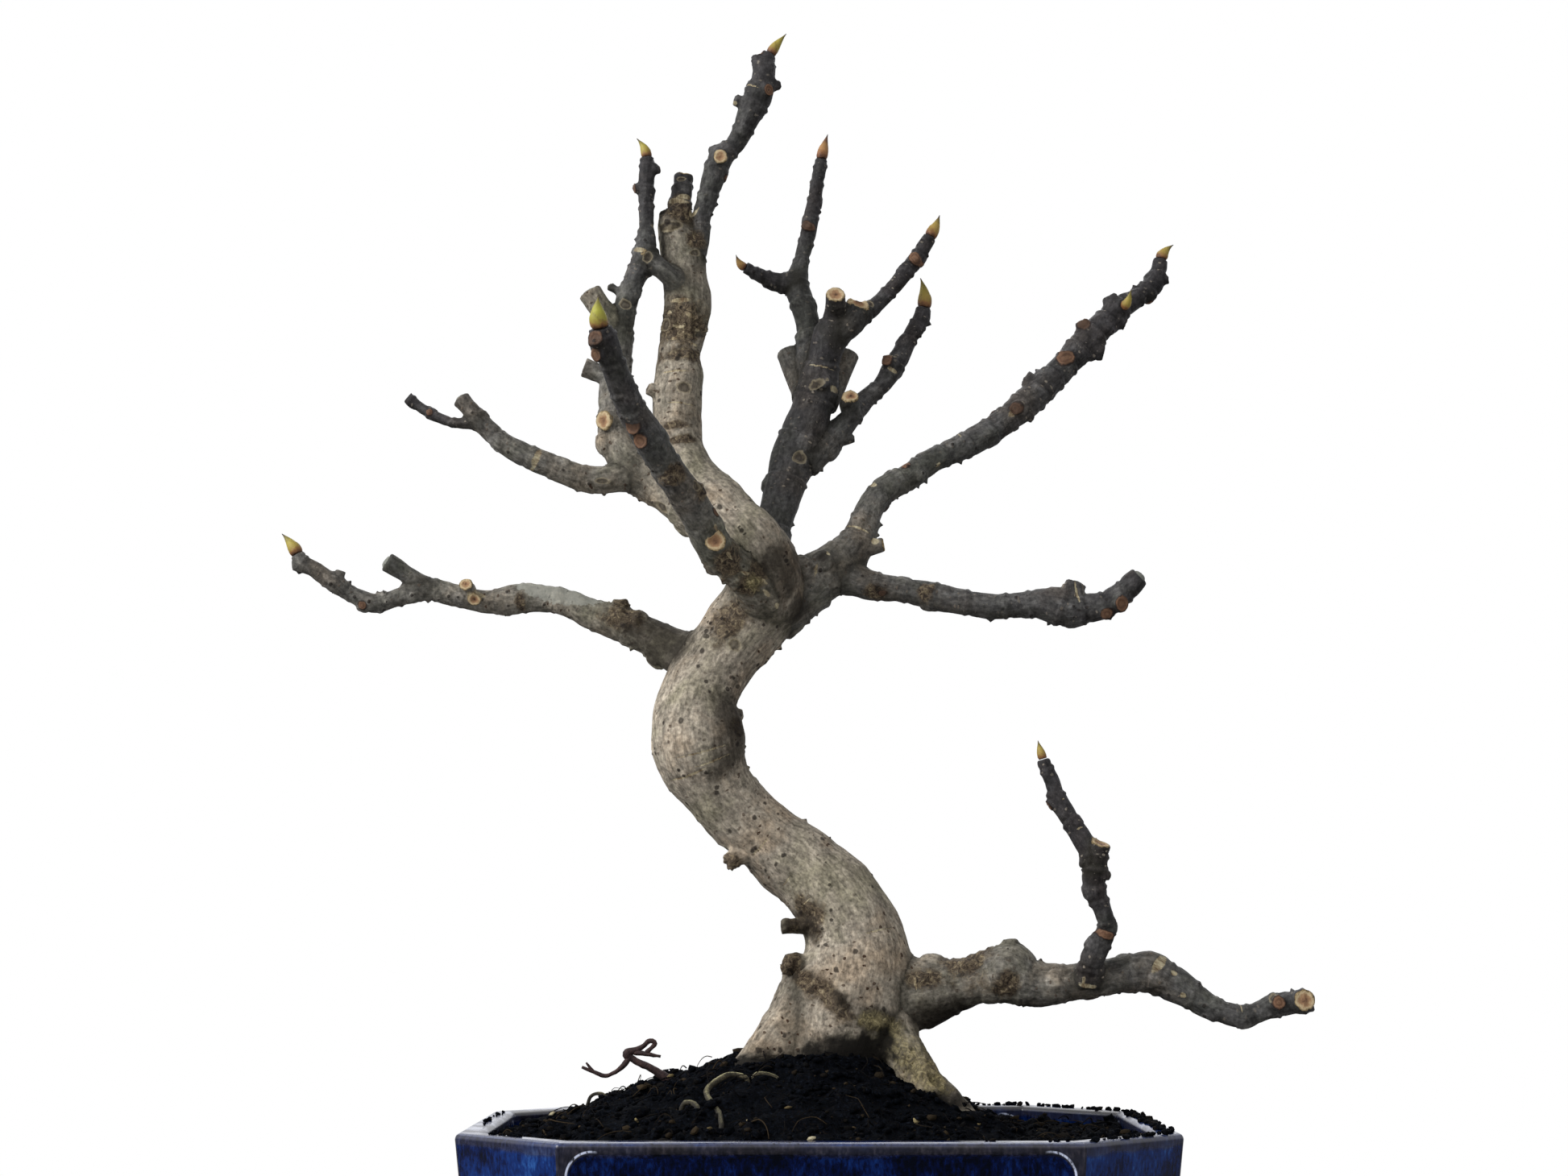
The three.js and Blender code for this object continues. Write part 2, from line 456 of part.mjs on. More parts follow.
BUDS.forEach(({ name, on, length, radius, lean }) => {
  const { at, along } = stations(on, 1).at(-1);
  const route = BUD_PROFILE.map(([share, fat]) => {
    const point = at.clone()
      .addScaledVector(along, GAP + share * length)
      .addScaledVector(V(...lean), share ** 2);
    return [point.x, point.y, point.z, radius * fat];
  });
  place(name, limb(route, { sides: 7, lobes: 0 }), BUD_SCALE);
});

// Pot outlines are eight points, anticlockwise from above, at one height
function outline(halfWidth, halfDepth, cut, z) {
  return [
    V(halfWidth, -halfDepth + cut, z), V(halfWidth, halfDepth - cut, z),
    V(halfWidth - cut, halfDepth, z), V(-halfWidth + cut, halfDepth, z),
    V(-halfWidth, halfDepth - cut, z), V(-halfWidth, -halfDepth + cut, z),
    V(-halfWidth + cut, -halfDepth, z), V(halfWidth - cut, -halfDepth, z),
  ];
}

// Moving every side in by d keeps the faces parallel when the cut shrinks by this share of d
const CUT_SHARE = 2 - Math.SQRT2;
const inset = (d, z) =>
  outline(POT_WIDTH / 2 - d, POT_DEPTH / 2 - d, CORNER_CUT - CUT_SHARE * d, z);

// How far the outer face lies inside the widest outline at a height
const taper = (z) => (-z / WALL_HEIGHT) * WALL_TAPER;

// Both edges of the lip and the lower edge of the wall are rounded by a facet or two
const lipBend = 0.35 * LIP_ROUND;
const baseTurn = UNDERSIDE_Z + BASE_ROUND;
const outside = solid(loft([
  inset(WALL_TAPER + 0.7 * BASE_ROUND, UNDERSIDE_Z), inset(taper(baseTurn), baseTurn),
  inset(taper(-LIP_ROUND), -LIP_ROUND), inset(lipBend, -lipBend), inset(LIP_ROUND, 0),
]));
const wallInside = (z) => taper(z) + WALL_BELOW;
const floorTurn = FLOOR_Z + 3;
const cavityRings = (grow, top) => [
  inset(wallInside(FLOOR_Z) + LIP_ROUND + grow, FLOOR_Z + grow),
  inset(wallInside(floorTurn) + grow, floorTurn),
  inset(wallInside(-SHOULDER_DEPTH) + grow, -SHOULDER_DEPTH),
  inset(LIP_WIDTH + grow, -LIP_ROUND), ...top,
];
const ABOVE_RIM = 5;
const cavity = solid(loft(cavityRings(0, [
  inset(LIP_WIDTH - lipBend, -lipBend), inset(LIP_WIDTH - LIP_ROUND, 0),
  inset(LIP_WIDTH - LIP_ROUND, ABOVE_RIM),
])));

// One sunk panel with round corners on each long and short face
function roundedPanel(width, height) {
  const x = width / 2;
  const y = height / 2;
  const r = PANEL_CORNER;
  const shape = new THREE.Shape();
  shape.moveTo(x, -y + r);
  shape.lineTo(x, y - r);
  shape.absarc(x - r, y - r, r, 0, Math.PI / 2);
  shape.lineTo(-x + r, y);
  shape.absarc(-x + r, y - r, r, Math.PI / 2, Math.PI);
  shape.lineTo(-x, -y + r);
  shape.absarc(-x + r, -y + r, r, Math.PI, Math.PI * 1.5);
  shape.lineTo(x - r, -y);
  shape.absarc(x - r, -y + r, r, Math.PI * 1.5, Math.PI * 2);
  return shape;
}

const PANEL_TOP = -6;
const PANEL_BOTTOM = UNDERSIDE_Z + WALL_BELOW;
const WALL_LEAN = Math.atan(WALL_TAPER / WALL_HEIGHT);

function panelCut(halfAway, faceLength, turn) {
  const middleZ = (PANEL_TOP + PANEL_BOTTOM) / 2;
  const shape = roundedPanel(faceLength - 2 * PANEL_MARGIN, PANEL_TOP - PANEL_BOTTOM);
  const cutter = new THREE.ExtrudeGeometry(shape, {
    depth: LIP_WIDTH, bevelEnabled: false, curveSegments: 5,
  });
  cutter.rotateX(Math.PI / 2 + WALL_LEAN);
  cutter.translate(0, -(halfAway - taper(middleZ) - PANEL_DEPTH), middleZ);
  cutter.rotateZ(turn);
  return solid(cutter);
}

const longFace = POT_WIDTH - 2 * CORNER_CUT;
const shortFace = POT_DEPTH - 2 * CORNER_CUT;
const panels = [
  panelCut(POT_DEPTH / 2, longFace, 0), panelCut(POT_WIDTH / 2, shortFace, Math.PI / 2),
  panelCut(POT_DEPTH / 2, longFace, Math.PI), panelCut(POT_WIDTH / 2, shortFace, -Math.PI / 2),
];

const drains = [-DRAIN_X, DRAIN_X].map((x) => {
  const bore = new THREE.CylinderGeometry(DRAIN_RADIUS, DRAIN_RADIUS, 3 * FLOOR_THICK, 20);
  return solid(bore.rotateX(Math.PI / 2).translate(x, 0, (UNDERSIDE_Z + FLOOR_Z) / 2));
});

// Four feet wrap the cut corners and stand a little inside the wall
function foot(signX, signY) {
  const a = POT_WIDTH / 2 - FOOT_INSET;
  const b = POT_DEPTH / 2 - FOOT_INSET;
  const cut = CORNER_CUT - CUT_SHARE * FOOT_INSET;
  const long = FOOT_LENGTH / 2;
  const inner = FOOT_WIDTH;
  const innerCut = cut - CUT_SHARE * inner;
  const corners = [
    [a - cut - long, b], [a - cut - long, b - inner], [a - inner - innerCut, b - inner],
    [a - inner, b - inner - innerCut], [a - inner, b - cut - long], [a, b - cut - long],
    [a, b - cut], [a - cut, b],
  ];
  const shape = new THREE.Shape(corners.map(([x, y]) => new THREE.Vector2(signX * x, signY * y)));
  const depth = FOOT_HEIGHT + FLOOR_THICK / 2;
  const block = new THREE.ExtrudeGeometry(shape, { depth, bevelEnabled: false });
  return solid(block.translate(0, 0, UNDERSIDE_Z - FOOT_HEIGHT));
}

const feet = [foot(1, 1), foot(-1, 1), foot(-1, -1), foot(1, -1)];
const pot = join([outside, ...feet]).subtract(join([cavity, ...panels, ...drains]));
place('pot', skin(pot), GLAZE);

// A plastic mesh lies over each drain hole, held by a wire staple bent out under the pot
const SCREEN_SIDE = 30;
const SCREEN_THICK = 1;
const MESH_PITCH = 4.8;
const MESH_HOLE = 3.2;
const WIRE_RADIUS = 0.6;
const screenBottom = FLOOR_Z + GAP;
const screenTop = screenBottom + SCREEN_THICK;

function screen(x) {
  const plate = solid(new THREE.BoxGeometry(SCREEN_SIDE, SCREEN_SIDE, SCREEN_THICK));
  const openings = [];
  for (let i = -2; i <= 2; i += 1) {
    for (let j = -2; j <= 2; j += 1) {
      const hole = new THREE.BoxGeometry(MESH_HOLE, MESH_HOLE, 2 * SCREEN_THICK);
      openings.push(solid(hole.translate(i * MESH_PITCH, j * MESH_PITCH, 0)));
    }
  }
  return skin(plate.subtract(join(openings)).translate([x, 0, screenBottom + SCREEN_THICK / 2]));
}

const STAPLE_TAIL = 9;
const stapleX = 2 * MESH_PITCH;
const stapleTop = screenTop + GAP + WIRE_RADIUS;
const stapleFoot = UNDERSIDE_Z - GAP - WIRE_RADIUS;
const stapleHalf = [
  [stapleX + STAPLE_TAIL, stapleFoot], [stapleX + 1, stapleFoot], [stapleX, stapleFoot + 1.4],
  [stapleX, stapleTop - 2], [stapleX - 1, stapleTop],
];
const stapleRoute = (x) => [
  ...stapleHalf.map(([away, z]) => [x - away, 0, z, WIRE_RADIUS]),
  ...stapleHalf.toReversed().map(([away, z]) => [x + away, 0, z, WIRE_RADIUS]),
];
const WIRE_SHAPE = { sides: 6, lobes: 0 };

[['left', -DRAIN_X], ['right', DRAIN_X]].forEach(([side, x]) => {
  place(`drain_screen_${side}`, screen(x), MESH_PLASTIC);
  place(`screen_wire_${side}`, limb(stapleRoute(x), WIRE_SHAPE), WIRE_METAL);
});

// Loose roots lie in arches on the mound, and one dry root stands up on the left
const SURFACE_ROOTS = {
  surface_root_arch: [
    [-23.4, -33, 12.5, 1.1], [-24.6, -33, 16.8, 1.3], [-30, -34, 17.8, 1.4], [-35, -37, 15.4, 1.5],
    [-37.4, -41, 12.8, 1.5], [-35.8, -48, 9.8, 1.4], [-33, -56, 7, 1.3], [-32, -62, 4, 1.2],
    [-32, -65, -1, 1],
  ],
  surface_root_loop: [
    [-23, -29, 12, 1], [-21.6, -31, 17.4, 1.1], [-17.6, -31, 18, 1.1], [-13.6, -31, 16.2, 1],
    [-12.6, -31, 11, 0.9],
  ],
  surface_root_stub: [
    [-46.4, -46, 3, 1], [-44.8, -47, 9, 1.2], [-41.6, -49.4, 9.4, 1.3], [-39.8, -53, 7.4, 1.3],
    [-39.2, -57, 1.4, 1.1],
  ],
  surface_root_left: [
    [-82, 4, 1, 0.8], [-79.6, 3, 8.2, 0.9], [-76, 2, 9.4, 0.9], [-73.6, 1, 7.6, 0.9],
    [-72.6, 1, 3, 0.8],
  ],
};
const DRY_ROOT = [
  [-46, -3, 8, 2.2], [-51, -4, 13.6, 2.5], [-57, -5, 18, 1.5], [-64, -5, 21.4, 1.4],
  [-66.4, -5, 23.6, 1.8], [-62, -5, 25.4, 1.3], [-58.4, -6, 28, 1.2], [-56.6, -6, 27, 1.1],
  [-59.6, -6, 24, 1.2],
];
const DRY_ROOT_THIN = [
  [-65, -5, 22.6, 1.3], [-68.6, -6, 18.6, 1.1], [-73.6, -6, 16, 1], [-78, -6, 17.4, 0.9],
  [-82, -6, 19, 0.8],
];
const DRY_FORK = [[-78, -6, 17.4, 0.8], [-80.6, -6, 20.6, 0.6]];
const THIN = { sides: 6, lobes: 0.04 };

Object.entries(SURFACE_ROOTS).forEach(([name, route]) => place(name, limb(route, THIN), ROOT_SKIN));
const dryRoot = join([DRY_ROOT, DRY_ROOT_THIN, DRY_FORK].map((route) => solid(limb(route, THIN))));
place('dry_root', skin(dryRoot), DEAD_WOOD);

// The mound falls away from the trunk in an even slope, steeper on the right
const MOUND_TOP = 25;
const MOUND_PEAK = 33;
const MOUND_SLOPE = 0.34;
const SOIL_EDGE = -5;

function ripple(x, y) {
  return 1.1 * Math.sin(x * 0.31 + 1.7 * Math.sin(y * 0.17)) * Math.sin(y * 0.37 + 0.8)
    + 0.9 * Math.sin(x * 0.13 - y * 0.21 + 2.1);
}

function soilHeight(x, y) {
  const acrossX = x < 2 ? x - 2 : (x - 2) / 0.62;
  const far = Math.hypot(acrossX, y / 0.8);
  const slope = Math.min(MOUND_TOP, MOUND_PEAK - MOUND_SLOPE * far);
  return Math.max(SOIL_EDGE, slope) + ripple(x, y);
}

const SOIL_COLUMNS = 25;
const SOIL_ROWS = 19;
const soilBlock = new THREE.BoxGeometry(
  POT_WIDTH, POT_DEPTH, 2, SOIL_COLUMNS, SOIL_ROWS, 1);
const soilPoints = soilBlock.getAttribute('position');
for (let i = 0; i < soilPoints.count; i += 1) {
  const top = soilPoints.getZ(i) > 0;
  const height = soilHeight(soilPoints.getX(i), soilPoints.getY(i));
  soilPoints.setZ(i, top ? height : UNDERSIDE_Z);
}

// Plain holes for what stands or lies in the soil, a seat gap wider than each
const HOLE_GROW = 0.4;
const wider = (route, shape) => solid(limb(route, { ...shape, grow: HOLE_GROW }));
const screenPocket = (x) => {
  const size = SCREEN_SIDE + 2 * GAP;
  const top = stapleTop + WIRE_RADIUS + GAP;
  const box = new THREE.BoxGeometry(size, size, FLOOR_THICK);
  return solid(box.translate(x, 0, top - FLOOR_THICK / 2));
};
const soilHoles = join([
  wider(TRUNK, { sides: 16 }),
  ...ROOTS.map((route) => wider(route, ROOT_SHAPE)),
  ...Object.values(SURFACE_ROOTS).map((route) => wider(route, THIN)),
  wider(DRY_ROOT, THIN), wider(DRY_ROOT_THIN, THIN),
  screenPocket(-DRAIN_X), screenPocket(DRAIN_X),
]);
const soilRoom = solid(loft(cavityRings(GAP, [inset(LIP_WIDTH + GAP, 2 * MOUND_TOP)])));
place('soil', skin(solid(soilBlock).intersect(soilRoom).subtract(soilHoles)), COMPOST);

// Compost crumbs lie on the rim of the right-hand wall as one low heap
const CRUMB_COUNT = 15;
const CRUMB_SIZE = 2.3;
const CRUMB_RUN = 88;
const crumbRandom = seeded(5);
const crumbLine = POT_WIDTH / 2 - LIP_WIDTH / 2;
const crumbs = [];
for (let i = 0; i < CRUMB_COUNT; i += 1) {
  const crumb = new THREE.IcosahedronGeometry(CRUMB_SIZE * (0.75 + 0.6 * crumbRandom()), 0);
  crumb.rotateX(crumbRandom() * 3).rotateZ(crumbRandom() * 3).scale(0.85, 2.5, 0.7);
  const y = CRUMB_RUN * (i / (CRUMB_COUNT - 1) - 0.5);
  crumb.translate(crumbLine + 1.4 * (crumbRandom() - 0.5), y, 0.4 + 0.7 * crumbRandom());
  crumbs.push(solid(crumb));
}
const aboveRim = new THREE.BoxGeometry(POT_WIDTH, POT_DEPTH, MOUND_TOP);
aboveRim.translate(0, 0, MOUND_TOP / 2 + GAP);
place('rim_crumbs', skin(join(crumbs).intersect(solid(aboveRim))), COMPOST);

// The origin goes to the middle of the whole plant's box, on the plane the feet stand on
const bounds = new THREE.Box3().setFromObject(part);
const middle = bounds.getCenter(V(0, 0, 0));
part.position.set(-middle.x, -middle.y, -bounds.min.z);

export default part;
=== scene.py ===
# %% [markdown]
# A leafless fig, grown as a bonsai in a cobalt glazed pot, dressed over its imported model.
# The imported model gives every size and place. This file gives the skin: bark, buds, glaze
# and compost. It starts by loading the frame, and everything below is built around it.

# %% Load the frame
import math
import random
from typing import NamedTuple

import bmesh
import bpy
import numpy as np
from mathutils import Matrix, Vector
from mathutils.bvhtree import BVHTree


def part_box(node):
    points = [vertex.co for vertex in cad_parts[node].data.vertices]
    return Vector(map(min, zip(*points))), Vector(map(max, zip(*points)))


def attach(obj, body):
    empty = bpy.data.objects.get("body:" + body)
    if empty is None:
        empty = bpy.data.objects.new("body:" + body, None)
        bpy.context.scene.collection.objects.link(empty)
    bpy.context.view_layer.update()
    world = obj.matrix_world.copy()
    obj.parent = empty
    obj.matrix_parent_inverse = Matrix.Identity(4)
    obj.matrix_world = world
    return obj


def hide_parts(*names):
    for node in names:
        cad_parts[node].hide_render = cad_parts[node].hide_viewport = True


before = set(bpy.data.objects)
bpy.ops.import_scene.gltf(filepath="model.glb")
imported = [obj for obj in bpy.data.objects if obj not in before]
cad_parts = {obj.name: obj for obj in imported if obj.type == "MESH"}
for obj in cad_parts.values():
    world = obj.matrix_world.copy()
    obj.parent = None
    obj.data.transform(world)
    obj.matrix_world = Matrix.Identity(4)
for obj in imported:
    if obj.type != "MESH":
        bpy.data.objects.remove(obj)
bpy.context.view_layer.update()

MM = 0.001
pot_low, pot_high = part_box("pot")
RIM = Vector(((pot_low.x + pot_high.x) / 2, (pot_low.y + pot_high.y) / 2, pot_high.z))
print("rim centre in mm:", [round(value / MM, 2) for value in RIM])


def spot(x, y, z):
    """A place given in millimetres from the middle of the pot's rim, in the scene's metres."""
    return RIM + Vector((x, y, z)) * MM


# %% [markdown]
# The camera stands a little above the pot's rim and looks up by about eight degrees, which is
# why the pot shows almost edge on. Its lens follows from the pot's corners, because their
# spread fixes both the distance and the tilt.

# %% Camera
PHOTO_WIDTH = 1946
PHOTO_HEIGHT = 1460
SENSOR_WIDTH = 36
LENS = 55.5
TILT_UP = 8.29
CAMERA_X, CAMERA_Y, CAMERA_Z = -11.6, -863.5, 62.8

camera_data = bpy.data.cameras.new("camera")
camera_data.lens = LENS
camera_data.sensor_width = SENSOR_WIDTH
camera = bpy.data.objects.new("camera", camera_data)
camera.location = spot(CAMERA_X, CAMERA_Y, CAMERA_Z)
camera.rotation_euler = (math.radians(90 + TILT_UP), 0, 0)
bpy.context.collection.objects.link(camera)
bpy.context.scene.camera = camera
FOCAL = LENS / SENSOR_WIDTH * PHOTO_WIDTH
print("focal length in photo pixels:", round(FOCAL))


def sight_line(column, row):
    """The direction in which the camera sees a pixel of the photo."""
    right, rise = (column - PHOTO_WIDTH / 2) / FOCAL, (PHOTO_HEIGHT / 2 - row) / FOCAL
    return (camera.rotation_euler.to_matrix() @ Vector((right, rise, -1))).normalized()


# %% [markdown]
# Every material is made of nodes by one helper, which adds a node, sets it and links it.
# Colours are picked as sRGB hex values, and one function turns them to the linear values that
# the shader works in. A Mix node that mixes colours takes them at its sockets 6 and 7.

# %% Helpers for materials
COLOURS = {"data_type": "RGBA", "out": 2}
SOFTLY = {"interpolation_type": "SMOOTHSTEP"}


def linear(hex_colour):
    """An sRGB hex colour as linear red, green, blue and alpha."""
    channels = [int(hex_colour[i:i + 2], 16) / 255 for i in (1, 3, 5)]
    return (*[c / 12.92 if c <= 0.04045 else ((c + 0.055) / 1.055) ** 2.4 for c in channels], 1)


def add(tree, kind, links=None, stops=None, out=0, **settings):
    """Adds a node. links maps a socket to a value or to another output; gives back output out."""
    made = tree.nodes.new("ShaderNode" + kind)
    for key, value in settings.items():
        setattr(made, key, value)
    for key, value in (links or {}).items():
        socket = made.inputs[key]
        if isinstance(value, bpy.types.NodeSocket):
            tree.links.new(value, socket)
        else:
            socket.default_value = value
    if stops:
        ramp = made.color_ramp.elements
        for position, colour in stops[2:]:
            ramp.new(position)
        for element, (position, colour) in zip(ramp, stops):
            element.position = position
            element.color = linear(colour)
    return made.outputs[out] if made.outputs else made


def new_material(name):
    """An empty material, its node tree, and its places on the piece in millimetres."""
    material = bpy.data.materials.new(name)
    material.use_nodes = True
    tree = material.node_tree
    tree.nodes.clear()
    in_mm = add(tree, "VectorMath", {0: add(tree, "TexCoord", out="Object"), 1: (1 / MM,) * 3},
                operation="MULTIPLY")
    return material, tree, in_mm


# %% [markdown]
# Soft studio light: a large lamp high on the left gives the form, a wide dim one fills from
# the front right, and the pale room does the rest. The room is brighter to the eye than to
# the object, as when a subject is set against a white sheet that has its own lamps. The glaze
# mirrors that sheet, which hangs behind the plant and over it, and the dark of the room behind
# the camera.

# %% Lights and room
HEART = spot(-10, 0, 170)
LAMPS = {
    "key_lamp": (spot(-980, -600, 780), 1.1, 23),
    "fill_lamp": (spot(700, -1000, 500), 1.2, 4.5),
    "back_lamp": (spot(100, 800, 900), 0.9, 5),
}
for name, (place, width, power) in LAMPS.items():
    data = bpy.data.lights.new(name, "AREA")
    data.shape = "DISK"
    data.size = width
    data.energy = power
    lamp = bpy.data.objects.new(name, data)
    lamp.location = place
    lamp.rotation_euler = (HEART - place).to_track_quat("-Z", "Y").to_euler()
    bpy.context.collection.objects.link(lamp)

ROOM_LIGHT = 0.17
SHEET_TOWARDS = (0, 1, 2.2)
SHEET_DIM, SHEET_BRIGHT = 0.05, 1.15
world = bpy.data.worlds.new("pale_room")
bpy.context.scene.world = world
world.use_nodes = True
room = world.node_tree
room.nodes.clear()
seen_by_eye = add(room, "LightPath", out="Is Camera Ray")
seen_in_gloss = add(room, "LightPath", out="Is Glossy Ray")
room_light = add(room, "Background", {"Color": (0.96, 0.98, 1, 1), "Strength": ROOM_LIGHT})
room_seen = add(room, "Background", {"Color": (1, 1, 1, 1), "Strength": 1})
towards_sheet = add(room, "VectorMath", {0: add(room, "TexCoord", out="Generated"), 1: SHEET_TOWARDS},
                    operation="DOT_PRODUCT", out="Value")
sheet = add(room, "MapRange", {
    "Value": towards_sheet, "From Min": -0.6, "From Max": 0.9, "To Min": SHEET_DIM,
    "To Max": SHEET_BRIGHT}, **SOFTLY)
room_mirrored = add(room, "Background", {"Color": (0.95, 0.96, 1, 1), "Strength": sheet})
room_mix = add(room, "MixShader", {0: seen_in_gloss, 1: room_light, 2: room_mirrored})
room_mix = add(room, "MixShader", {0: seen_by_eye, 1: room_mix, 2: room_seen})
add(room, "OutputWorld", {"Surface": room_mix})
bpy.context.scene.view_settings.view_transform = "Standard"
print("lamps:", len(bpy.data.lights))


# %% [markdown]
# The floor is a pale painted disc. It fades out at its edge into the white room, as a studio's
# curved backdrop does, so that no horizon line crosses the picture. The glaze doesn't mirror
# it, because a white floor would lay a grey veil over the blue.

# %% Floor
FLOOR_RADIUS, FADE_START, FADE_END = 700, 300, 580
floor_form = bmesh.new()
bmesh.ops.create_circle(floor_form, cap_ends=True, segments=96, radius=FLOOR_RADIUS * MM)
floor_mesh = bpy.data.meshes.new("floor")
floor_form.to_mesh(floor_mesh)
floor_form.free()
floor = bpy.data.objects.new("floor", floor_mesh)
bpy.context.collection.objects.link(floor)
floor_paint, nodes, in_mm = new_material("pale_floor_paint")
from_middle = add(nodes, "VectorMath", {0: in_mm}, operation="LENGTH", out="Value")
fade = add(nodes, "MapRange", {"Value": from_middle, "From Min": FADE_START, "From Max": FADE_END},
           **SOFTLY)
paint = add(nodes, "BsdfPrincipled", {
    "Base Color": (0.85, 0.85, 0.85, 1), "Roughness": 0.9, "Specular IOR Level": 0.2})
clear = add(nodes, "BsdfTransparent")
in_gloss = add(nodes, "LightPath", out="Is Glossy Ray")
hidden = add(nodes, "Math", {0: fade, 1: in_gloss}, operation="MAXIMUM")
add(nodes, "OutputMaterial", {"Surface": add(nodes, "MixShader", {0: hidden, 1: paint, 2: clear})})
floor_mesh.materials.append(floor_paint)
print("floor radius in mm:", FLOOR_RADIUS)

# %% [markdown]
# The tree is one grown thing, so it gets one skin. Each limb is a route of places with a
# radius, in millimetres from the middle of the pot's rim: the same routes that the solid
# model has. Tubes swept along them are melted into one skin, and the skin is then worked as
# bark, because where it lies on its limb says which scars and rings it carries.

# %% Routes of the trunk and the leader
TRUNK = [
    (4, 2, -22, 17), (4, 1, 0, 19), (6, 0, 22, 21.6), (10, 0, 38, 22.6), (13.6, 0, 51, 20.6),
    (13.2, 1, 63, 17.8), (8.6, 2, 74, 16.2), (1, 3, 83.4, 14.8), (-8.8, 4, 91.6, 13.8),
    (-20.2, 3, 101, 12.8), (-29.6, 1, 109.4, 12.8), (-37, -1, 119.2, 14), (-41.6, -3, 130, 16.6),
    (-42.8, -3, 140, 16), (-42, -2, 149.4, 14), (-37.4, -1, 158.6, 13), (-31.4, 0, 167, 13.4),
    (-25, 1, 175.8, 14.2), (-19.7, 1, 183, 13.6),
]
LEADER = [
    (-19.7, 0, 183, 13), (-17.2, -8, 189.2, 12), (-18.6, -16, 197, 11.6),
    (-25, -19, 205.2, 11), (-34, -15, 214.8, 10.4), (-43.4, -10, 224.6, 9.8),
    (-49.2, -6, 237, 9.2), (-50.6, -3, 251, 9), (-50, -1, 264.2, 9), (-50, 0, 274.7, 7.8),
    (-48.6, 1, 282.2, 8.4), (-47.2, 2, 293.7, 8.6), (-48.4, 3, 304.6, 8.1), (-49.4, 3, 312.6, 7.6),
    (-51.4, 3, 322, 6.5), (-51.6, 3, 328.4, 6.1),
]
LEADER_STUB = [(-51, 3, 325, 4.4), (-49.4, 3, 337, 3.9), (-48.8, 3, 343.8, 3.6)]
TOP_SHOOT = [
    (-47, 3, 308, 4.8), (-42.8, 3, 319.5, 3.8), (-41.6, 2, 329, 3.5), (-38.2, 1, 341, 4.1),
    (-35.4, 0, 349, 4.6), (-29.4, 0, 355.5, 3.7), (-25.2, -1, 364, 4.5), (-22, -2, 371, 5.3),
    (-19.4, -2, 377.5, 4.7), (-18.8, -2, 385, 4), (-16.8, -2, 389, 2.4),
]

# %% Routes on the left
LEFT_LIMB = [
    (-31, -13, 206.6, 9.2), (-42.4, -12, 212.8, 8.4), (-52.4, -9, 221, 7.8), (-61, -7, 228, 8),
    (-68, -6, 235.5, 7.8), (-71.8, -5, 244.7, 7), (-73.2, -5, 255, 5.8), (-72.4, -5, 269, 5.3),
    (-71, -5, 282.4, 4.8), (-68.8, -5, 294, 4.1), (-66.4, -5, 302, 4.1), (-62.4, -5, 310.4, 4.6),
    (-62.2, -5, 319, 3.1), (-62.1, -5, 327.4, 2.8), (-62.3, -5, 337, 3.2), (-62.1, -5, 344.2, 2.8),
    (-62.2, -5, 348, 2.7),
]
CROSS_LIMB = [(-49, -1, 300, 4.4), (-55.5, -6, 305, 3.8), (-62, -6, 310, 3.8)]
OLD_GREY_STUB = [(-71.6, -5, 282.6, 4), (-78.2, -8, 290.2, 4.2), (-82.8, -9, 297, 4.6)]
UPPER_LEFT = [
    (-65, -8, 228.8, 5.6), (-76.4, -9, 226.6, 5.1), (-86.4, -10, 227.8, 4.6), (-96.5, -11, 231.9, 4.4),
    (-105.2, -12, 235.4, 4.2), (-113.4, -13, 240.2, 3.6), (-120.3, -14, 246.6, 3.4),
    (-124.8, -14, 252, 3.1), (-128.3, -14, 255.9, 3.5),
]
UPPER_LEFT_SIDE = [
    (-120, -14, 246.6, 2.6), (-130, -13, 246.7, 1.9), (-137.5, -12, 249.5, 1.9),
    (-143.5, -11, 253.3, 1.9), (-147.4, -11, 256.4, 2.2),
]
FRONT_BRANCH = [
    (-18.5, -4, 180.7, 6.8), (-21.2, -18, 185.6, 6.8), (-28, -28, 191, 6.2), (-34.9, -36, 196.7, 6.5),
    (-40.7, -46, 206.4, 5.9), (-46.5, -55, 214.7, 5.8), (-52.8, -63, 223.2, 5.5),
    (-58.4, -71, 231.5, 5.6), (-63.3, -79, 240, 4.7), (-67.2, -87, 249, 4.4), (-70.6, -93, 257, 4.6),
    (-71.6, -95, 260.6, 3.8),
]
LOWER_LEFT = [
    (-37, 3, 163.2, 8), (-50.5, 5, 166.2, 7.8), (-60.8, 7, 172.2, 6.6), (-71.2, 9, 176.9, 6.4),
    (-80.8, 10, 180.2, 5.6), (-90.6, 11, 184.6, 4.8), (-101, 12, 186.6, 5), (-110.4, 12, 186, 5.4),
    (-120.2, 12, 185.3, 4.2), (-129, 11, 186.5, 4), (-139.3, 10, 189.3, 3.9), (-146.4, 9, 188.8, 3.8),
    (-153.5, 8, 185.7, 3.2), (-160.6, 7, 184.1, 3.5), (-168.6, 6, 187.1, 3.1),
    (-173.8, 5, 190.6, 3.4), (-181, 4, 195.2, 3), (-186.4, 3, 198.3, 3.1), (-188.2, 3, 201.2, 2.8),
]
LOWER_LEFT_STUB = [(-142, 10, 189.8, 3.6), (-149.8, 8, 195.4, 3.3), (-157, 6, 199.6, 3.7)]

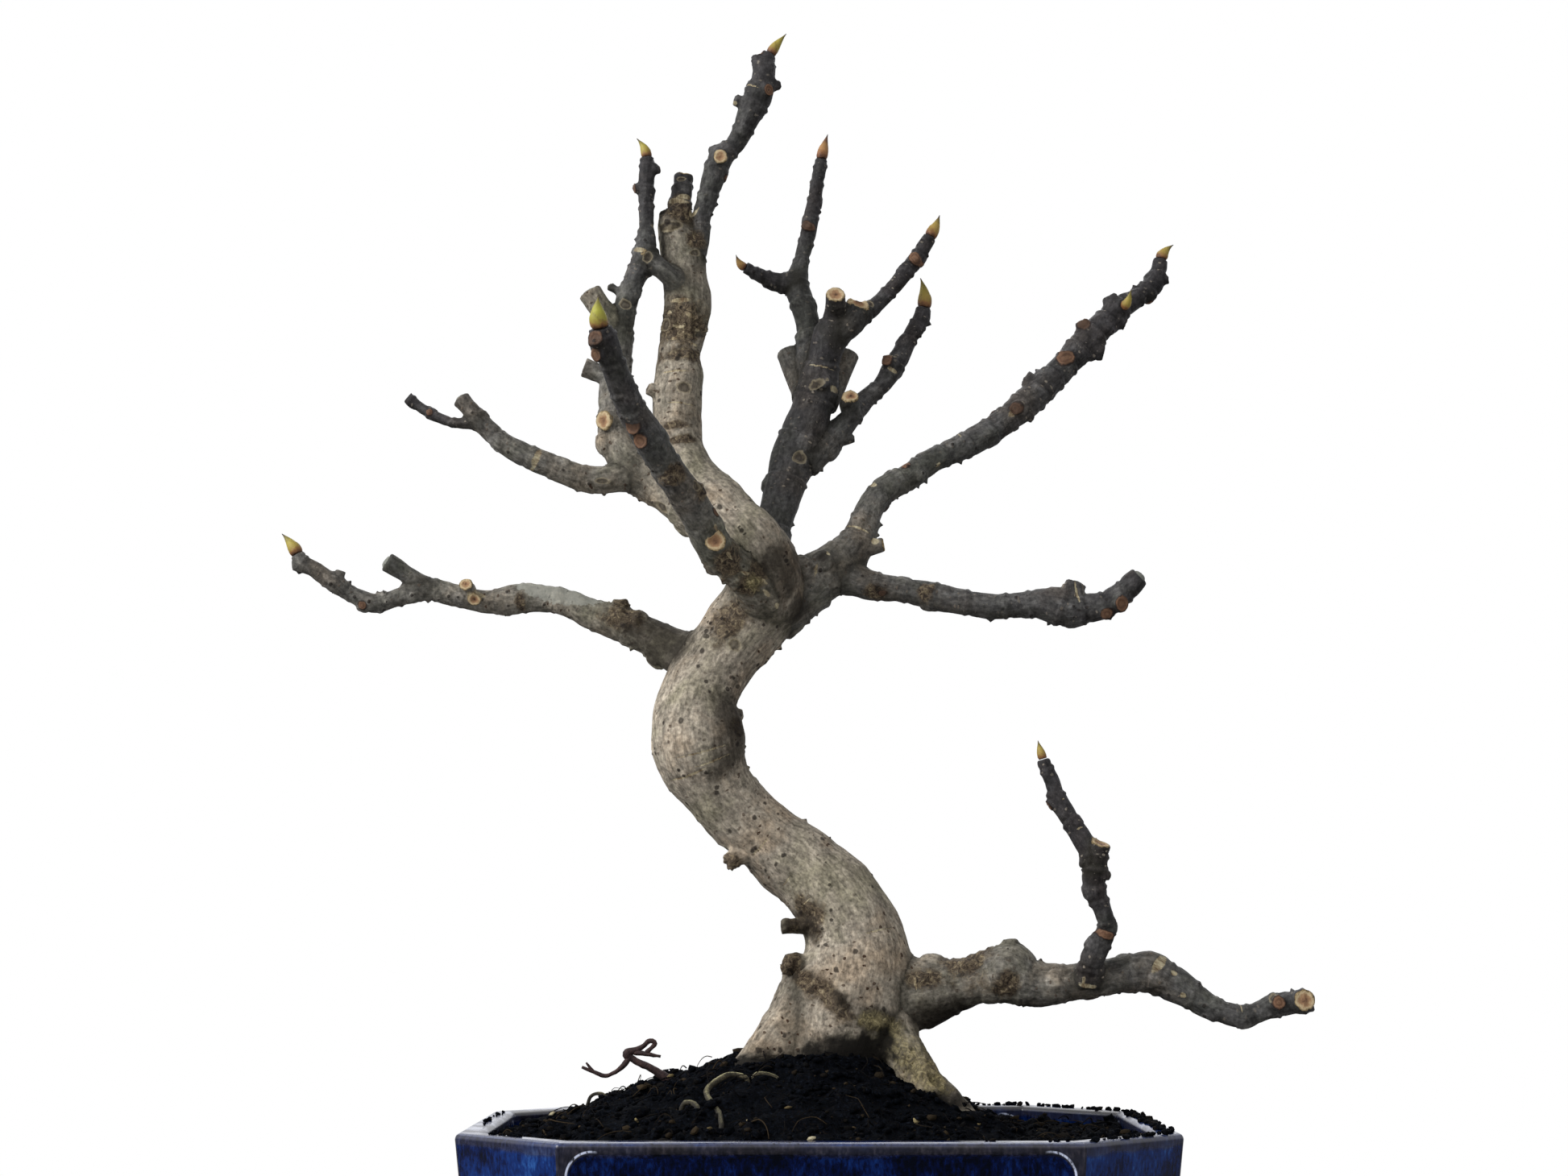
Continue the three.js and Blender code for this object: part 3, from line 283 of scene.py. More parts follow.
# %% Routes at the back
BACK_LIMB = [
    (-14.6, 8, 198, 6.8), (-15.2, 14, 214, 6.3), (-12, 18, 227.4, 7.4), (-8.2, 21, 241, 8),
    (-3.4, 22, 254.6, 8), (0.6, 22, 266, 7.2), (3.1, 21, 276.5, 6.2), (5.8, 20, 287.3, 6.3),
    (7.3, 18, 294.6, 4.3), (7.5, 15, 299, 4),
]
BACK_CUT_STUB = [(6, 20, 286, 5), (13.2, 19, 292, 4.9), (15.8, 20, 299.4, 3.9)]
BACK_RIGHT_SHOOT = [
    (12, 20, 291, 4.4), (19.4, 22, 296.6, 3.7), (25.6, 24, 302.4, 2.9), (32, 26, 310.2, 3),
    (38.4, 27, 318.8, 3.1), (43.8, 28, 327.6, 2.6),
]
BACK_LEFT_SHOOT = [
    (-0.8, 25, 269, 5.4), (-2, 28, 284.6, 4.7), (-2.6, 30, 294.6, 4.7), (-5.3, 32, 304.6, 4.8),
    (-6.3, 34, 313, 4), (-4.6, 35, 322, 3), (-1.8, 35, 334, 3.2), (0.2, 36, 346, 2.7),
    (2.2, 36, 356.8, 2.6), (2.9, 36, 361, 2.4),
]
SMALL_LEFT_SHOOT = [
    (-6.2, 33, 310.7, 3.8), (-14.8, 32, 311.3, 3.6), (-21, 30, 313.4, 2.7), (-26.3, 28, 315.7, 2.2),
]
BACK_OLD_STUB_LEFT = [(-4.2, 25, 265, 4.4), (-7.6, 31, 276, 4.3), (-10, 34, 285, 4.9)]
BACK_OLD_STUB_RIGHT = [(4, 25, 261, 4.2), (9.2, 31, 274, 4.2), (12.4, 34, 284.4, 5)]
SUB_BRANCH = [
    (-4, 21, 239, 6.3), (5.6, 24, 248, 5.2), (13, 26, 256.4, 4), (18.2, 28, 263.6, 3.7),
    (25.4, 30, 270.6, 3.4), (30.4, 32, 279, 4), (35.8, 34, 288.8, 3.3), (40.6, 35, 297, 3.4),
    (41.8, 35, 301.8, 2.9),
]

# %% Routes on the right
RIGHT_LONG = [
    (-19, 2, 181, 12.2), (-8, 4, 187.8, 11.2), (3.2, 6, 195, 9.3), (12.6, 8, 202.8, 7.2),
    (17, 10, 211.4, 5.8), (20.8, 12, 221, 5.3), (26, 14, 227.8, 4.9), (34.8, 17, 232.8, 4.7),
    (45.2, 20, 240.4, 4.8), (57.4, 23, 246.6, 4.9), (67.4, 26, 253, 5), (77.6, 29, 261.6, 5.6),
    (86.2, 32, 270, 5.3), (94.7, 35, 278.6, 5.2), (103.6, 38, 288.8, 5.7), (111.2, 40, 296.6, 5.2),
    (116.8, 42, 302.7, 5.1), (124.9, 44, 308.2, 3.8), (131.7, 46, 314.3, 4.1), (133.8, 47, 320.2, 3.1),
    (134.8, 47, 324.3, 2.7),
]
RIGHT_LOW = [
    (6, 6, 195.6, 7), (19.7, 4, 190.2, 5.6), (30, 2, 188.3, 4.7), (40, 0, 186.2, 5.1),
    (51.4, -2, 183.7, 4.7), (62.8, -4, 181.4, 4.7), (73.6, -6, 181.7, 4.4), (82, -8, 181.8, 5.9),
    (89.8, -9, 179.4, 6.7), (96.8, -10, 179.8, 5.4), (102.8, -12, 181, 5.1),
    (108.4, -14, 184.5, 4.4), (112.4, -15, 188.6, 4.1), (115.2, -16, 191.2, 3.6),
]
LOW_RIGHT = [
    (22, 0, 42.2, 13.8), (38.4, -3, 44.8, 12.2), (48.2, -5, 46.7, 9.5), (58, -7, 49.9, 8.9),
    (66.4, -9, 51.5, 10.5), (74.6, -11, 47.7, 8.5), (85.6, -13, 47.8, 6.6), (95.2, -15, 49.4, 6.3),
    (106, -17, 51.4, 6.3), (114.4, -18, 52.1, 7.1), (118.4, -19, 50.1, 6.3), (124.2, -20, 46.8, 6),
    (128.6, -21, 44, 5.1), (134.2, -22, 40.2, 4.2), (139.6, -23, 38.2, 3.7), (145, -23, 36.9, 4),
    (151, -23, 38.6, 3.4), (157, -24, 40.8, 4.3), (162.8, -25, 41.2, 3.6), (168.2, -27, 42, 3.9),
]
STANDING_SHOOT = [
    (93.6, -18, 49, 5), (94.2, -23, 56.2, 4.3), (96.2, -25, 60.8, 4.2), (99, -26, 66.8, 3.4),
    (97.8, -27, 72.8, 3), (95, -28, 79.2, 3.9), (95, -29, 86.2, 3.8), (96.2, -30, 92.2, 3.8),
    (96.8, -31, 95.4, 3.6),
]
STANDING_TIP = [
    (95, -29, 86.2, 3.4), (93, -29, 92.7, 3.5), (89.6, -28, 99.6, 3.3), (85.6, -27, 106.6, 3.3),
    (83, -26, 110.9, 3.4), (81, -25, 117.9, 2.7), (78.9, -25, 123, 2.6), (78.3, -25, 124.8, 2.2),
]

# %% Routes of the roots
RIGHT_ROOT = [
    (22, -4, 37, 11), (28.4, -12, 26, 8.2), (34.4, -18, 17, 6.8), (42.8, -22, 8.6, 6.2),
    (51.4, -26, 0, 5.6), (62, -31, -10, 4.6), (73, -36, -20, 3),
]
LEFT_ROOT = [
    (1, -2, 41, 15), (-8.6, -6, 31.5, 11.2), (-18, -10, 22.4, 8.8), (-29, -14, 11, 7),
    (-41, -19, -1, 5.8), (-54, -25, -12, 4.4), (-64, -30, -22, 3),
]
FRONT_ROOT = [
    (-1, -6, 24, 9), (3, -17, 13, 7), (5, -29, 2, 5.6), (4, -41, -10, 4.4), (2, -52, -22, 3),
]
BACK_ROOT_LEFT = [
    (-2, 6, 30, 11), (-14, 18, 19, 8.6), (-25, 30, 6, 6.8), (-36, 42, -8, 5), (-46, 52, -22, 3),
]
BACK_ROOT_RIGHT = [
    (14, 8, 30, 12), (24, 20, 19, 8.8), (34, 32, 6, 6.6), (44, 42, -8, 5), (52, 50, -22, 3),
]


# %% [markdown]
# Bark changes with age. A one-year shoot is smooth, dark and closely ringed; old wood is pale
# and almost plain. So each limb states its age at both ends, the distance between its leaf
# nodes, how rough it is and how many root nubs it grows to the centimetre.

# %% What each limb is like
class Limb(NamedTuple):
    route: list
    ages: tuple
    node_gap: float = 0
    rough: float = 0.5
    nubs: float = 0
    end: str = "bark"


LIMBS = {
    "trunk": Limb(TRUNK, (1, 0.95), 0, 0.35, 10),
    "leader": Limb(LEADER, (0.98, 0.7), 0, 0.45, 4),
    "leader_stub": Limb(LEADER_STUB, (0.2, 0.12), 5, 0.6, 0, "cut"),
    "top_shoot": Limb(TOP_SHOOT, (0.42, 0.12), 9, 0.4, 1),
    "left_limb": Limb(LEFT_LIMB, (0.9, 0.1), 10, 0.6, 1.4),
    "cross_limb": Limb(CROSS_LIMB, (0.5, 0.35), 0, 0.4, 0, "cut"),
    "old_grey_stub": Limb(OLD_GREY_STUB, (0.7, 0.72), 0, 0.1, 0, "old"),
    "upper_left": Limb(UPPER_LEFT, (0.68, 0.42), 11, 0.5, 1.8, "old"),
    "upper_left_side": Limb(UPPER_LEFT_SIDE, (0.22, 0.1), 8, 0.3, 0),
    "front_branch": Limb(FRONT_BRANCH, (0.78, 0.12), 11, 0.4, 1.4),
    "lower_left": Limb(LOWER_LEFT, (0.78, 0.42), 12, 0.8, 3.2),
    "lower_left_stub": Limb(LOWER_LEFT_STUB, (0.5, 0.4), 0, 0.4, 1, "old"),
    "back_limb": Limb(BACK_LIMB, (0.34, 0.14), 16, 0.4, 2),
    "back_limb_cut": Limb(BACK_CUT_STUB, (0.3, 0.3), 0, 0.4, 0, "cut"),
    "back_right_shoot": Limb(BACK_RIGHT_SHOOT, (0.2, 0.1), 10, 0.3, 0.6),
    "back_left_shoot": Limb(BACK_LEFT_SHOOT, (0.4, 0.1), 10, 0.4, 0.8),
    "small_left_shoot": Limb(SMALL_LEFT_SHOOT, (0.2, 0.1), 6, 0.5, 0.8),
    "back_old_stub_left": Limb(BACK_OLD_STUB_LEFT, (0.5, 0.5), 0, 0.1, 0, "old"),
    "back_old_stub_right": Limb(BACK_OLD_STUB_RIGHT, (0.5, 0.5), 0, 0.1, 0, "old"),
    "sub_branch": Limb(SUB_BRANCH, (0.4, 0.12), 11, 0.4, 1.4),
    "right_long": Limb(RIGHT_LONG, (0.6, 0.06), 9, 0.8, 2.6),
    "right_low": Limb(RIGHT_LOW, (0.5, 0.18), 11, 0.5, 2, "old"),
    "low_right": Limb(LOW_RIGHT, (0.74, 0.22), 13, 0.8, 3),
    "standing_shoot": Limb(STANDING_SHOOT, (0.22, 0.16), 7, 0.6, 0.6, "cut"),
    "standing_tip": Limb(STANDING_TIP, (0.14, 0.08), 9, 0.3, 0),
    "right_root": Limb(RIGHT_ROOT, (0.95, 0.8), 0, 0.9),
    "left_root": Limb(LEFT_ROOT, (0.95, 0.8), 0, 0.9, 7),
    "front_root": Limb(FRONT_ROOT, (0.9, 0.8), 0, 0.9),
    "back_root_left": Limb(BACK_ROOT_LEFT, (0.9, 0.8), 0, 0.9),
    "back_root_right": Limb(BACK_ROOT_RIGHT, (0.9, 0.8), 0, 0.9),
}


# %% [markdown]
# Where a leaf, a twig or a fruit was, a short stump is left. Each one is listed by what its
# face shows: a leaf scar is orange-brown, a pruning cut has a cream ring of new wood around
# a tan heart, and the rest are closed over with bark. A row holds where the stump starts and
# where it stops, and its radius at both.

# %% Stumps
STUMPS = {
    "scar": [
        ((-60, -71, 231), (-61.6, -77, 231.6), 3.3, 3.1),
        ((-57.4, -70, 228), (-59.4, -75.6, 227), 3.2, 3),
        ((-70.6, -93, 256.4), (-73, -98, 256.6), 3.1, 3),
        ((-69.4, -91, 253), (-72.8, -94.6, 251.6), 2.6, 2.4),
        ((77, 29, 262), (75.2, 23, 260.2), 3, 2.6), ((97, 36, 282), (96, 30.4, 281.4), 3.4, 3),
        ((113, 40, 299), (119.6, 40, 296.4), 3.2, 2.7), ((105, 38, 291), (102.6, 37, 296.6), 3.2, 2.6),
        ((103, -12, 181), (107.6, -20, 180), 3.3, 3),
        ((102, -12, 181), (102.6, -17.6, 176.8), 3.2, 2.8),
        ((83.4, -26, 111), (79.8, -26, 108.8), 2.4, 2),
        ((-62.3, -5, 337), (-66.8, -6, 336.2), 2.5, 2.2),
        ((30.4, 31, 277.8), (27.4, 26.8, 279.6), 3, 2.5),
        ((38.6, 27, 318), (37.4, 22.9, 318.6), 2.5, 2.2),
        ((-2, 35, 333.4), (-3.2, 31.2, 333.4), 2.4, 2.1), ((-21, -2, 373), (-17, -7, 373.4), 2.7, 2.4),
        ((-20, -2, 382.4), (-20.9, -2, 388.6), 3.3, 2.8),
        ((157, -24, 40.8), (156.8, -29.2, 41.7), 3, 2.6),
    ],
    "cut": [
        ((-34.6, -36, 196.4), (-35.1, -46, 198.2), 4.1, 3.8),
        ((7.4, 15.4, 296.6), (7.6, 9.6, 300.2), 4, 3.8),
        ((-72.2, -5, 249), (-76.4, -12.4, 247.6), 4, 3.6),
        ((13.8, 24, 257.4), (13.2, 17, 263), 3.7, 3.3), ((-127, 11, 188), (-127, 4.8, 190.6), 2.7, 2.3),
        ((-124.4, 12, 186.6), (-124.2, 6.6, 185.4), 2.8, 2.4),
        ((164.4, -26, 41.6), (165.2, -31.4, 42.6), 4.2, 3.8),
        ((-35.4, 0, 348.6), (-35, -5.6, 348.4), 2.9, 2.6), ((13, 8, 203), (24.6, 6, 205.4), 3.6, 2.6),
    ],
    "bark": [
        ((-70.4, -5, 242), (-78, -8, 239.8), 3.4, 3),
        ((-72.6, -5, 264.6), (-84.4, -6, 268.8), 3.3, 3.7),
        ((-69.2, -5, 294.6), (-74.8, -6, 299.4), 1.5, 1.3),
        ((-53.8, -3, 258), (-60.6, -6, 261), 2.8, 2.2), ((-51.8, 2, 323.6), (-54.8, -4, 323.2), 3.4, 3),
        ((114.6, 41, 301.2), (113.6, 41, 307.6), 3.3, 2.8),
        ((101, 37, 286), (110.4, 37, 284.8), 3.8, 3.2), ((86, 32, 270), (79.8, 32, 273.6), 3.4, 3),
        ((86, 32, 270), (90.8, 31, 267), 3.6, 3), ((77.4, 29, 262), (82.8, 29, 258.8), 3.7, 3),
        ((63, 25, 251), (64, 25, 246.2), 3.6, 2.8), ((132, 46, 315), (137.6, 46, 315.8), 2.3, 1.6),
        ((0.6, 22, 266), (2.6, 14, 268.6), 3.9, 3.3), ((7.6, 24, 247.6), (15, 24, 248.6), 2.4, 1.5),
        ((90, -9, 181), (93, -9, 189), 4.6, 3.6), ((-163.6, 6.6, 186), (-165, 5.6, 181), 2.3, 2),
        ((-186.2, 3, 197.4), (-190.2, 2, 196.8), 2, 1.7),
        ((-173.8, 5, 191), (-172.6, 5, 195.6), 2.2, 1.7),
        ((-71.6, 9, 180), (-71.2, 8, 185.4), 3.2, 2.6), ((66.4, -9, 54.1), (67.4, -9, 62.9), 6.6, 2.4),
        ((74, -11, 50), (79, -11, 55.4), 3, 1.4), ((-27, -2, 93), (-32, -4, 89.4), 4.4, 3),
        ((0, -4, 68), (-12.6, -5, 67.4), 3.6, 2.8), ((-1, -7, 54.5), (-10.4, -9, 54.8), 3.3, 2.9),
        ((-32, -3, 142), (-26.4, -4, 142.8), 2.6, 1.7), ((95, -29, 85), (99.8, -29, 84.4), 1.5, 1.1),
        ((94, -29, 89), (90.4, -30, 89.4), 1.6, 1.2), ((-61.8, -5, 343), (-57.9, -6, 343.8), 2.1, 1.8),
        ((-36.2, 0, 349.6), (-37.6, 0, 354), 2.8, 2.2), ((-23.6, -2, 369), (-30, -2, 371.4), 2.6, 2),
        ((-19.6, -2, 376), (-12.6, -2, 377.6), 2.4, 1.6),
        ((116, 41, 302), (118.4, 36.6, 302.8), 3.4, 2.8), ((3.2, 6, 195.4), (1.8, -5, 198.2), 4.3, 3.9),
    ],
}


# %% [markdown]
# A limb could be a curve with a bevel, but a curve cannot be melted into its neighbours. Here
# a ring is extruded from place to place instead. First a route becomes a close row of
# stations on a smooth curve, each with a frame of its own that turns as little as it can.

# %% Stations along a route
STEP = 1.6


class Path(NamedTuple):
    """Stations in millimetres: places, directions along, sideways and up, radii and lengths."""
    at: np.ndarray
    along: np.ndarray
    side: np.ndarray
    up: np.ndarray
    radius: np.ndarray
    run: np.ndarray


def unit(rows):
    return rows / np.linalg.norm(rows, axis=-1, keepdims=True)


def smooth_path(route, step=STEP):
    given = np.array(route, float)
    padded = np.vstack([2 * given[0] - given[1], given, 2 * given[-1] - given[-2]])
    rows = []
    for before, start, stop, after in zip(padded, padded[1:], padded[2:], padded[3:]):
        count = max(2, round(np.linalg.norm((stop - start)[:3]) / step))
        t = np.arange(count)[:, None] / count
        rows.append(start + 0.5 * t * (stop - before + t * (
            2 * before - 5 * start + 4 * stop - after + t * (3 * (start - stop) + after - before))))
    rows = np.vstack([*rows, given[-1:]])
    at, radius = rows[:, :3], rows[:, 3]
    along = unit(np.gradient(at, axis=0))
    away = np.array((0, 0, 1)) if abs(along[0, 2]) < 0.9 else np.array((0, 1, 0))
    side = [unit(np.cross(away, along[0]))]
    for direction in along[1:]:
        side.append(unit(side[-1] - direction * np.dot(side[-1], direction)))
    side = np.array(side)
    run = np.concatenate([[0], np.cumsum(np.linalg.norm(np.diff(at, axis=0), axis=1))])
    return Path(at, along, side, np.cross(along, side), radius, run)


def ring_matrix(path, i):
    """Puts a circle of radius 1 m round station i."""
    size = path.radius[i] * MM
    frame_of_ring = Matrix((path.side[i] * size, path.up[i] * size, path.along[i])).transposed()
    return Matrix.Translation(spot(*path.at[i])) @ frame_of_ring.to_4x4()


def verts_and_edges(made):
    """The vertices, and the edges, among what a bmesh operator made."""
    return [[item for item in made["geom"] if isinstance(item, kind)]
            for kind in (bmesh.types.BMVert, bmesh.types.BMEdge)]


def sweep(form, path, sides):
    """Extrudes a ring along a path and closes both ends. Gives back the new vertices."""
    matrices = [ring_matrix(path, i) for i in range(len(path.run))]
    ring = bmesh.ops.create_circle(form, radius=1, segments=sides, matrix=matrices[0])["verts"]
    edges = list({edge for vert in ring for edge in vert.link_edges})
    first, rings = edges, list(ring)
    for before, after in zip(matrices, matrices[1:]):
        verts, edges = verts_and_edges(bmesh.ops.extrude_edge_only(form, edges=edges))
        bmesh.ops.transform(form, matrix=after @ before.inverted(), verts=verts)
        rings += verts
    for rim in (first, edges):
        bmesh.ops.edgeloop_fill(form, edges=rim)
    return rings


paths = {name: smooth_path(limb.route) for name, limb in LIMBS.items()}
for kind, stumps in STUMPS.items():
    for i, (start, stop, radius, end_radius) in enumerate(stumps):
        paths[f"{kind}_stump_{i}"] = smooth_path([(*start, radius), (*stop, end_radius)])
total_length = sum(path.run[-1] for path in paths.values())
print(len(paths), "paths,", round(total_length), "mm in all")

# %% Sweep every limb
def store(mesh, name, values, on="POINT"):
    """Stores one value for each point, or for each face, of a mesh."""
    mesh.attributes.new(name, "FLOAT", on).data.foreach_set("value", np.array(values, np.float32))


def pour(form, whole, tint=None):
    """Adds one bmesh to another, with a tint if one is given, and frees the first."""
    mesh = bpy.data.meshes.new("poured")
    form.to_mesh(mesh)
    form.free()
    if tint is not None:
        store(mesh, "tint", [tint] * len(mesh.vertices))
    whole.from_mesh(mesh)
    bpy.data.meshes.remove(mesh)


def swept(path, sides, whole, tint=None):
    """Sweeps a path in a bmesh of its own and adds the tube to the bmesh called whole."""
    form = bmesh.new()
    sweep(form, path, sides)
    bmesh.ops.recalc_face_normals(form, faces=form.faces)
    pour(form, whole, tint)


tree_form = bmesh.new()
for path in paths.values():
    swept(path, int(min(28, max(14, 2.2 * path.radius.max()))), tree_form)
limb_hull = BVHTree.FromBMesh(tree_form)
print("swept", len(tree_form.faces), "faces")


# %% [markdown]
# The tubes overlap, so a voxel remesh melts them into one closed skin. A fine voxel is used
# because leaf scars are only a few millimetres wide.

# %% Melt the limbs into one skin
def dress(mesh, material=None):
    """Gives a mesh smooth shading, and one material where it has one."""
    mesh.materials.clear()
    if material:
        mesh.materials.append(material)
    mesh.polygons.foreach_set("use_smooth", [True] * len(mesh.polygons))


def hold(name, form, material=None):
    """Makes an object at the origin from a bmesh and frees the bmesh."""
    mesh = bpy.data.meshes.new(name)
    form.to_mesh(mesh)
    form.free()
    piece = bpy.data.objects.new(name, mesh)
    bpy.context.collection.objects.link(piece)
    dress(mesh, material)
    return piece


def settle(piece):
    """Replaces a piece's mesh by what its modifiers make of it."""
    graph = bpy.context.evaluated_depsgraph_get()
    graph.update()
    mesh = bpy.data.meshes.new_from_object(piece.evaluated_get(graph))
    piece.modifiers.clear()
    old = piece.data
    piece.data = mesh
    bpy.data.meshes.remove(old)
    mesh.name = piece.name
    return mesh


VOXEL = 0.6 * MM
tree_piece = hold("fig_tree", tree_form)
melt = tree_piece.modifiers.new("melt", "REMESH")
melt.mode = "VOXEL"
melt.voxel_size = VOXEL
melt.use_smooth_shade = True
skin_mesh = settle(tree_piece)
print("skin:", len(skin_mesh.polygons), "faces")


# %% [markdown]
# Now every point of the skin is asked which limb it lies on, how far along it and at what
# angle round it. With that, a ring or a scar can be drawn on a bent limb as easily as on a
# straight one. The gap to the second nearest limb tells where two limbs meet.

# %% Where each point of the skin lies
REACH, ON_LIMB = 7, 2
points, normals = np.empty((2, len(skin_mesh.vertices), 3), np.float32)
skin_mesh.vertices.foreach_get("co", points.ravel())
skin_mesh.vertices.foreach_get("normal", normals.ravel())
points = (points - np.array(RIM, np.float32)) / MM


class Lie(NamedTuple):
    """How points lie on one path: which points, gap to its skin, length along, angle, ends."""
    who: np.ndarray
    gap: np.ndarray
    run: np.ndarray
    turn: np.ndarray
    away: np.ndarray
    past: np.ndarray
    radius: np.ndarray


def lie_on(path):
    margin = path.radius.max() + REACH
    low, high = path.at.min(0) - margin, path.at.max(0) + margin
    who = np.flatnonzero(((points > low) & (points < high)).all(1))
    near = points[who]
    station = ((path.at ** 2).sum(1) - 2 * near @ path.at.T.astype(np.float32)).argmin(1)
    offset = near - path.at[station]
    ahead = (offset * path.along[station]).sum(1)
    across = offset - ahead[:, None] * path.along[station]
    away = np.linalg.norm(across, axis=1)
    turn = np.arctan2((across * path.up[station]).sum(1), (across * path.side[station]).sum(1))
    last = len(path.run) - 1
    past = np.where(station == last, ahead, path.run[station] + ahead - path.run[-1])
    before = np.where(station == 0, -ahead, -path.run[station] - ahead)
    radius = path.radius[station]
    gap = np.maximum(away - radius, np.maximum(past, before))
    return Lie(who, gap, path.run[station] + ahead, turn, away, past, radius)


limb_names = list(LIMBS)
lies = {name: lie_on(path) for name, path in paths.items()}
FAR = 99.0
gap = np.full(len(points), FAR)
second_gap = np.full(len(points), FAR)
owner = np.zeros(len(points), int)
run, turn, thick = (np.zeros(len(points)) for _ in range(3))
second_thick = np.ones(len(points))
for number, name in enumerate(limb_names):
    lie = lies[name]
    closer = lie.gap < gap[lie.who]
    ahead_of_second = (lie.gap < second_gap[lie.who]) & ~closer
    won, runner_up = lie.who[closer], lie.who[ahead_of_second]
    second_gap[won], second_thick[won] = gap[won], thick[won]
    second_gap[runner_up] = lie.gap[ahead_of_second]
    second_thick[runner_up] = lie.radius[ahead_of_second]
    gap[won], owner[won] = lie.gap[closer], number
    run[won], turn[won], thick[won] = lie.run[closer], lie.turn[closer], lie.radius[closer]
limb_length = np.array([paths[name].run[-1] for name in limb_names])
share = np.clip(run / limb_length[owner], 0, 1)
ages = np.array([limb.ages for limb in LIMBS.values()])
age = ages[owner, 0] * (1 - share) + ages[owner, 1] * share
rough = np.array([limb.rough for limb in LIMBS.values()])[owner]
print("points on a limb:", int((gap < ON_LIMB).sum()), "of", len(points))


# %% [markdown]
# Lumps of every size come from one smooth noise: random numbers at the corners of a grid,
# blended between them. It is asked in space for lumps, and along the limb for streaks.

# %% Noise
lattice = np.random.default_rng(7).random(65536).astype(np.float32) * 2 - 1


def rumple(places, size):
    """Smooth noise between about -1 and 1, with lumps about size wide."""
    scaled = places / size
    cell = np.floor(scaled).astype(np.int64)
    inside = (scaled - cell).astype(np.float32)
    inside = inside * inside * (3 - 2 * inside)
    total = np.zeros(len(places), np.float32)
    for corner in np.ndindex(2, 2, 2):
        at = cell + corner
        key = (at[:, 0] * 73856093 ^ at[:, 1] * 19349663 ^ at[:, 2] * 83492791) & 65535
        weight = np.prod(np.where(corner, inside, 1 - inside), axis=1)
        total += weight * lattice[key]
    return total


def bump(distance, width):
    return np.exp(-(distance / width) ** 2)


LUMP_MM, KNOB_MM, GRIT_MM, TEAR_MM, FIBRE_MM = 9, 3.6, 1.7, 1.3, 1.5
FIBRE_STRETCH = np.array((0.22, 1, 1))
APART = 400
grain = np.stack([run + APART * owner, thick * np.cos(turn), thick * np.sin(turn)], 1)
lumps, knobs, grit, torn = (rumple(points, size) for size in (LUMP_MM, KNOB_MM, GRIT_MM, TEAR_MM))
streaks = rumple(grain * FIBRE_STRETCH, FIBRE_MM)
print("lumps from", round(float(lumps.min()), 2), "to", round(float(lumps.max()), 2))

# %% [markdown]
# Limbs do not meet in a sharp crease: the wood swells into a collar there. The height of the
# collar follows from how near the second limb is. Then come the slow lumps and the fibre.

# %% Collars, lumps and fibre
LOWEST_COLLAR, HIGHEST_COLLAR = 0.8, 5
collar = np.clip(0.8 * np.minimum(thick, second_thick), LOWEST_COLLAR, HIGHEST_COLLAR)
spare = np.clip(collar - (second_gap - gap), 0, None)
relief = spare ** 2 / (4 * collar)
relief += lumps * (0.3 + 0.45 * rough) * np.clip(thick / 6, 0.4, 1.6)
broad = relief.copy()
relief += knobs * (0.1 + 0.28 * rough) + grit * (0.04 + 0.1 * rough)
relief += streaks * (0.05 + 0.14 * rough)
# crotch is 1 where two limbs meet; the bark's colour darkens it there as painted shade.
crotch = np.clip(1 - (second_gap - gap) / (1.4 + 0.6 * collar), 0, 1)
print("relief from", round(float(relief.min()), 1), "to", round(float(relief.max()), 1), "mm")

# %% [markdown]
# A fig drops its leaves and keeps their marks: at each node a ring runs round the shoot, and
# below it sits a raised round scar, each one turned from the last by more than a third of a
# turn. The nodes are laid out with a seeded draw, closer together towards the tip. Only some
# of those at the back are coloured here: the front's are placed one by one further down.

# %% Leaf nodes
NODE_TURN = math.radians(137)


def round_the_limb(angle):
    """The same angle between minus and plus half a turn."""
    return (angle + math.pi) % (2 * math.pi) - math.pi


ring = np.full(len(points), 5.0)
scar = np.full(len(points), -1.0)
node_draw = random.Random(4)
node_count = 0
for number, (name, limb) in enumerate(LIMBS.items()):
    if not limb.node_gap:
        continue
    mine = np.flatnonzero((owner == number) & (gap < ON_LIMB))
    place, angle = 3 + node_draw.random() * limb.node_gap, node_draw.random() * 6
    while place < limb_length[number] - 2:
        young = place / limb_length[number]
        wobble = 0.4 * np.sin(turn[mine] + angle) + 0.35 * knobs[mine]
        away = run[mine] - place + wobble
        size = np.sqrt(thick[mine])
        fresh = np.clip(1.15 - age[mine], 0.25, 1)
        ridge = fresh * size * (0.22 * bump(away, 0.7) - 0.13 * bump(away - 1.5, 0.8))
        sideways = round_the_limb(turn[mine] - angle)
        half_high = 0.32 * thick[mine] + 0.7
        half_wide = 0.5 * thick[mine] + 0.8
        spread = np.hypot((away + half_high) / half_high, sideways * thick[mine] / half_wide)
        pad = (0.3 + 0.14 * thick[mine]) * np.clip(1 - spread ** 4, 0, 1)
        nub = 0.8 * bump(np.hypot(away - 1.2, sideways * thick[mine]), 0.9)
        relief[mine] += ridge + (pad + nub) * (0.45 + 0.55 * node_draw.random())
        ring[mine] = np.minimum(ring[mine], np.abs(away))
        path = paths[name]
        station = min(np.searchsorted(path.run, place), len(path.run) - 1)
        towards_back = path.side[station, 1] * math.cos(angle) + path.up[station, 1] * math.sin(angle)
        if node_draw.random() < 0.5 * young and towards_back > 0.2:
            scar[mine] = np.maximum(scar[mine], np.clip(1 - spread, -1, 1))
        node_count += 1
        place += limb.node_gap * (1.25 - 0.5 * young) * (0.75 + 0.5 * node_draw.random())
        angle += NODE_TURN + 0.6 * (node_draw.random() - 0.5)
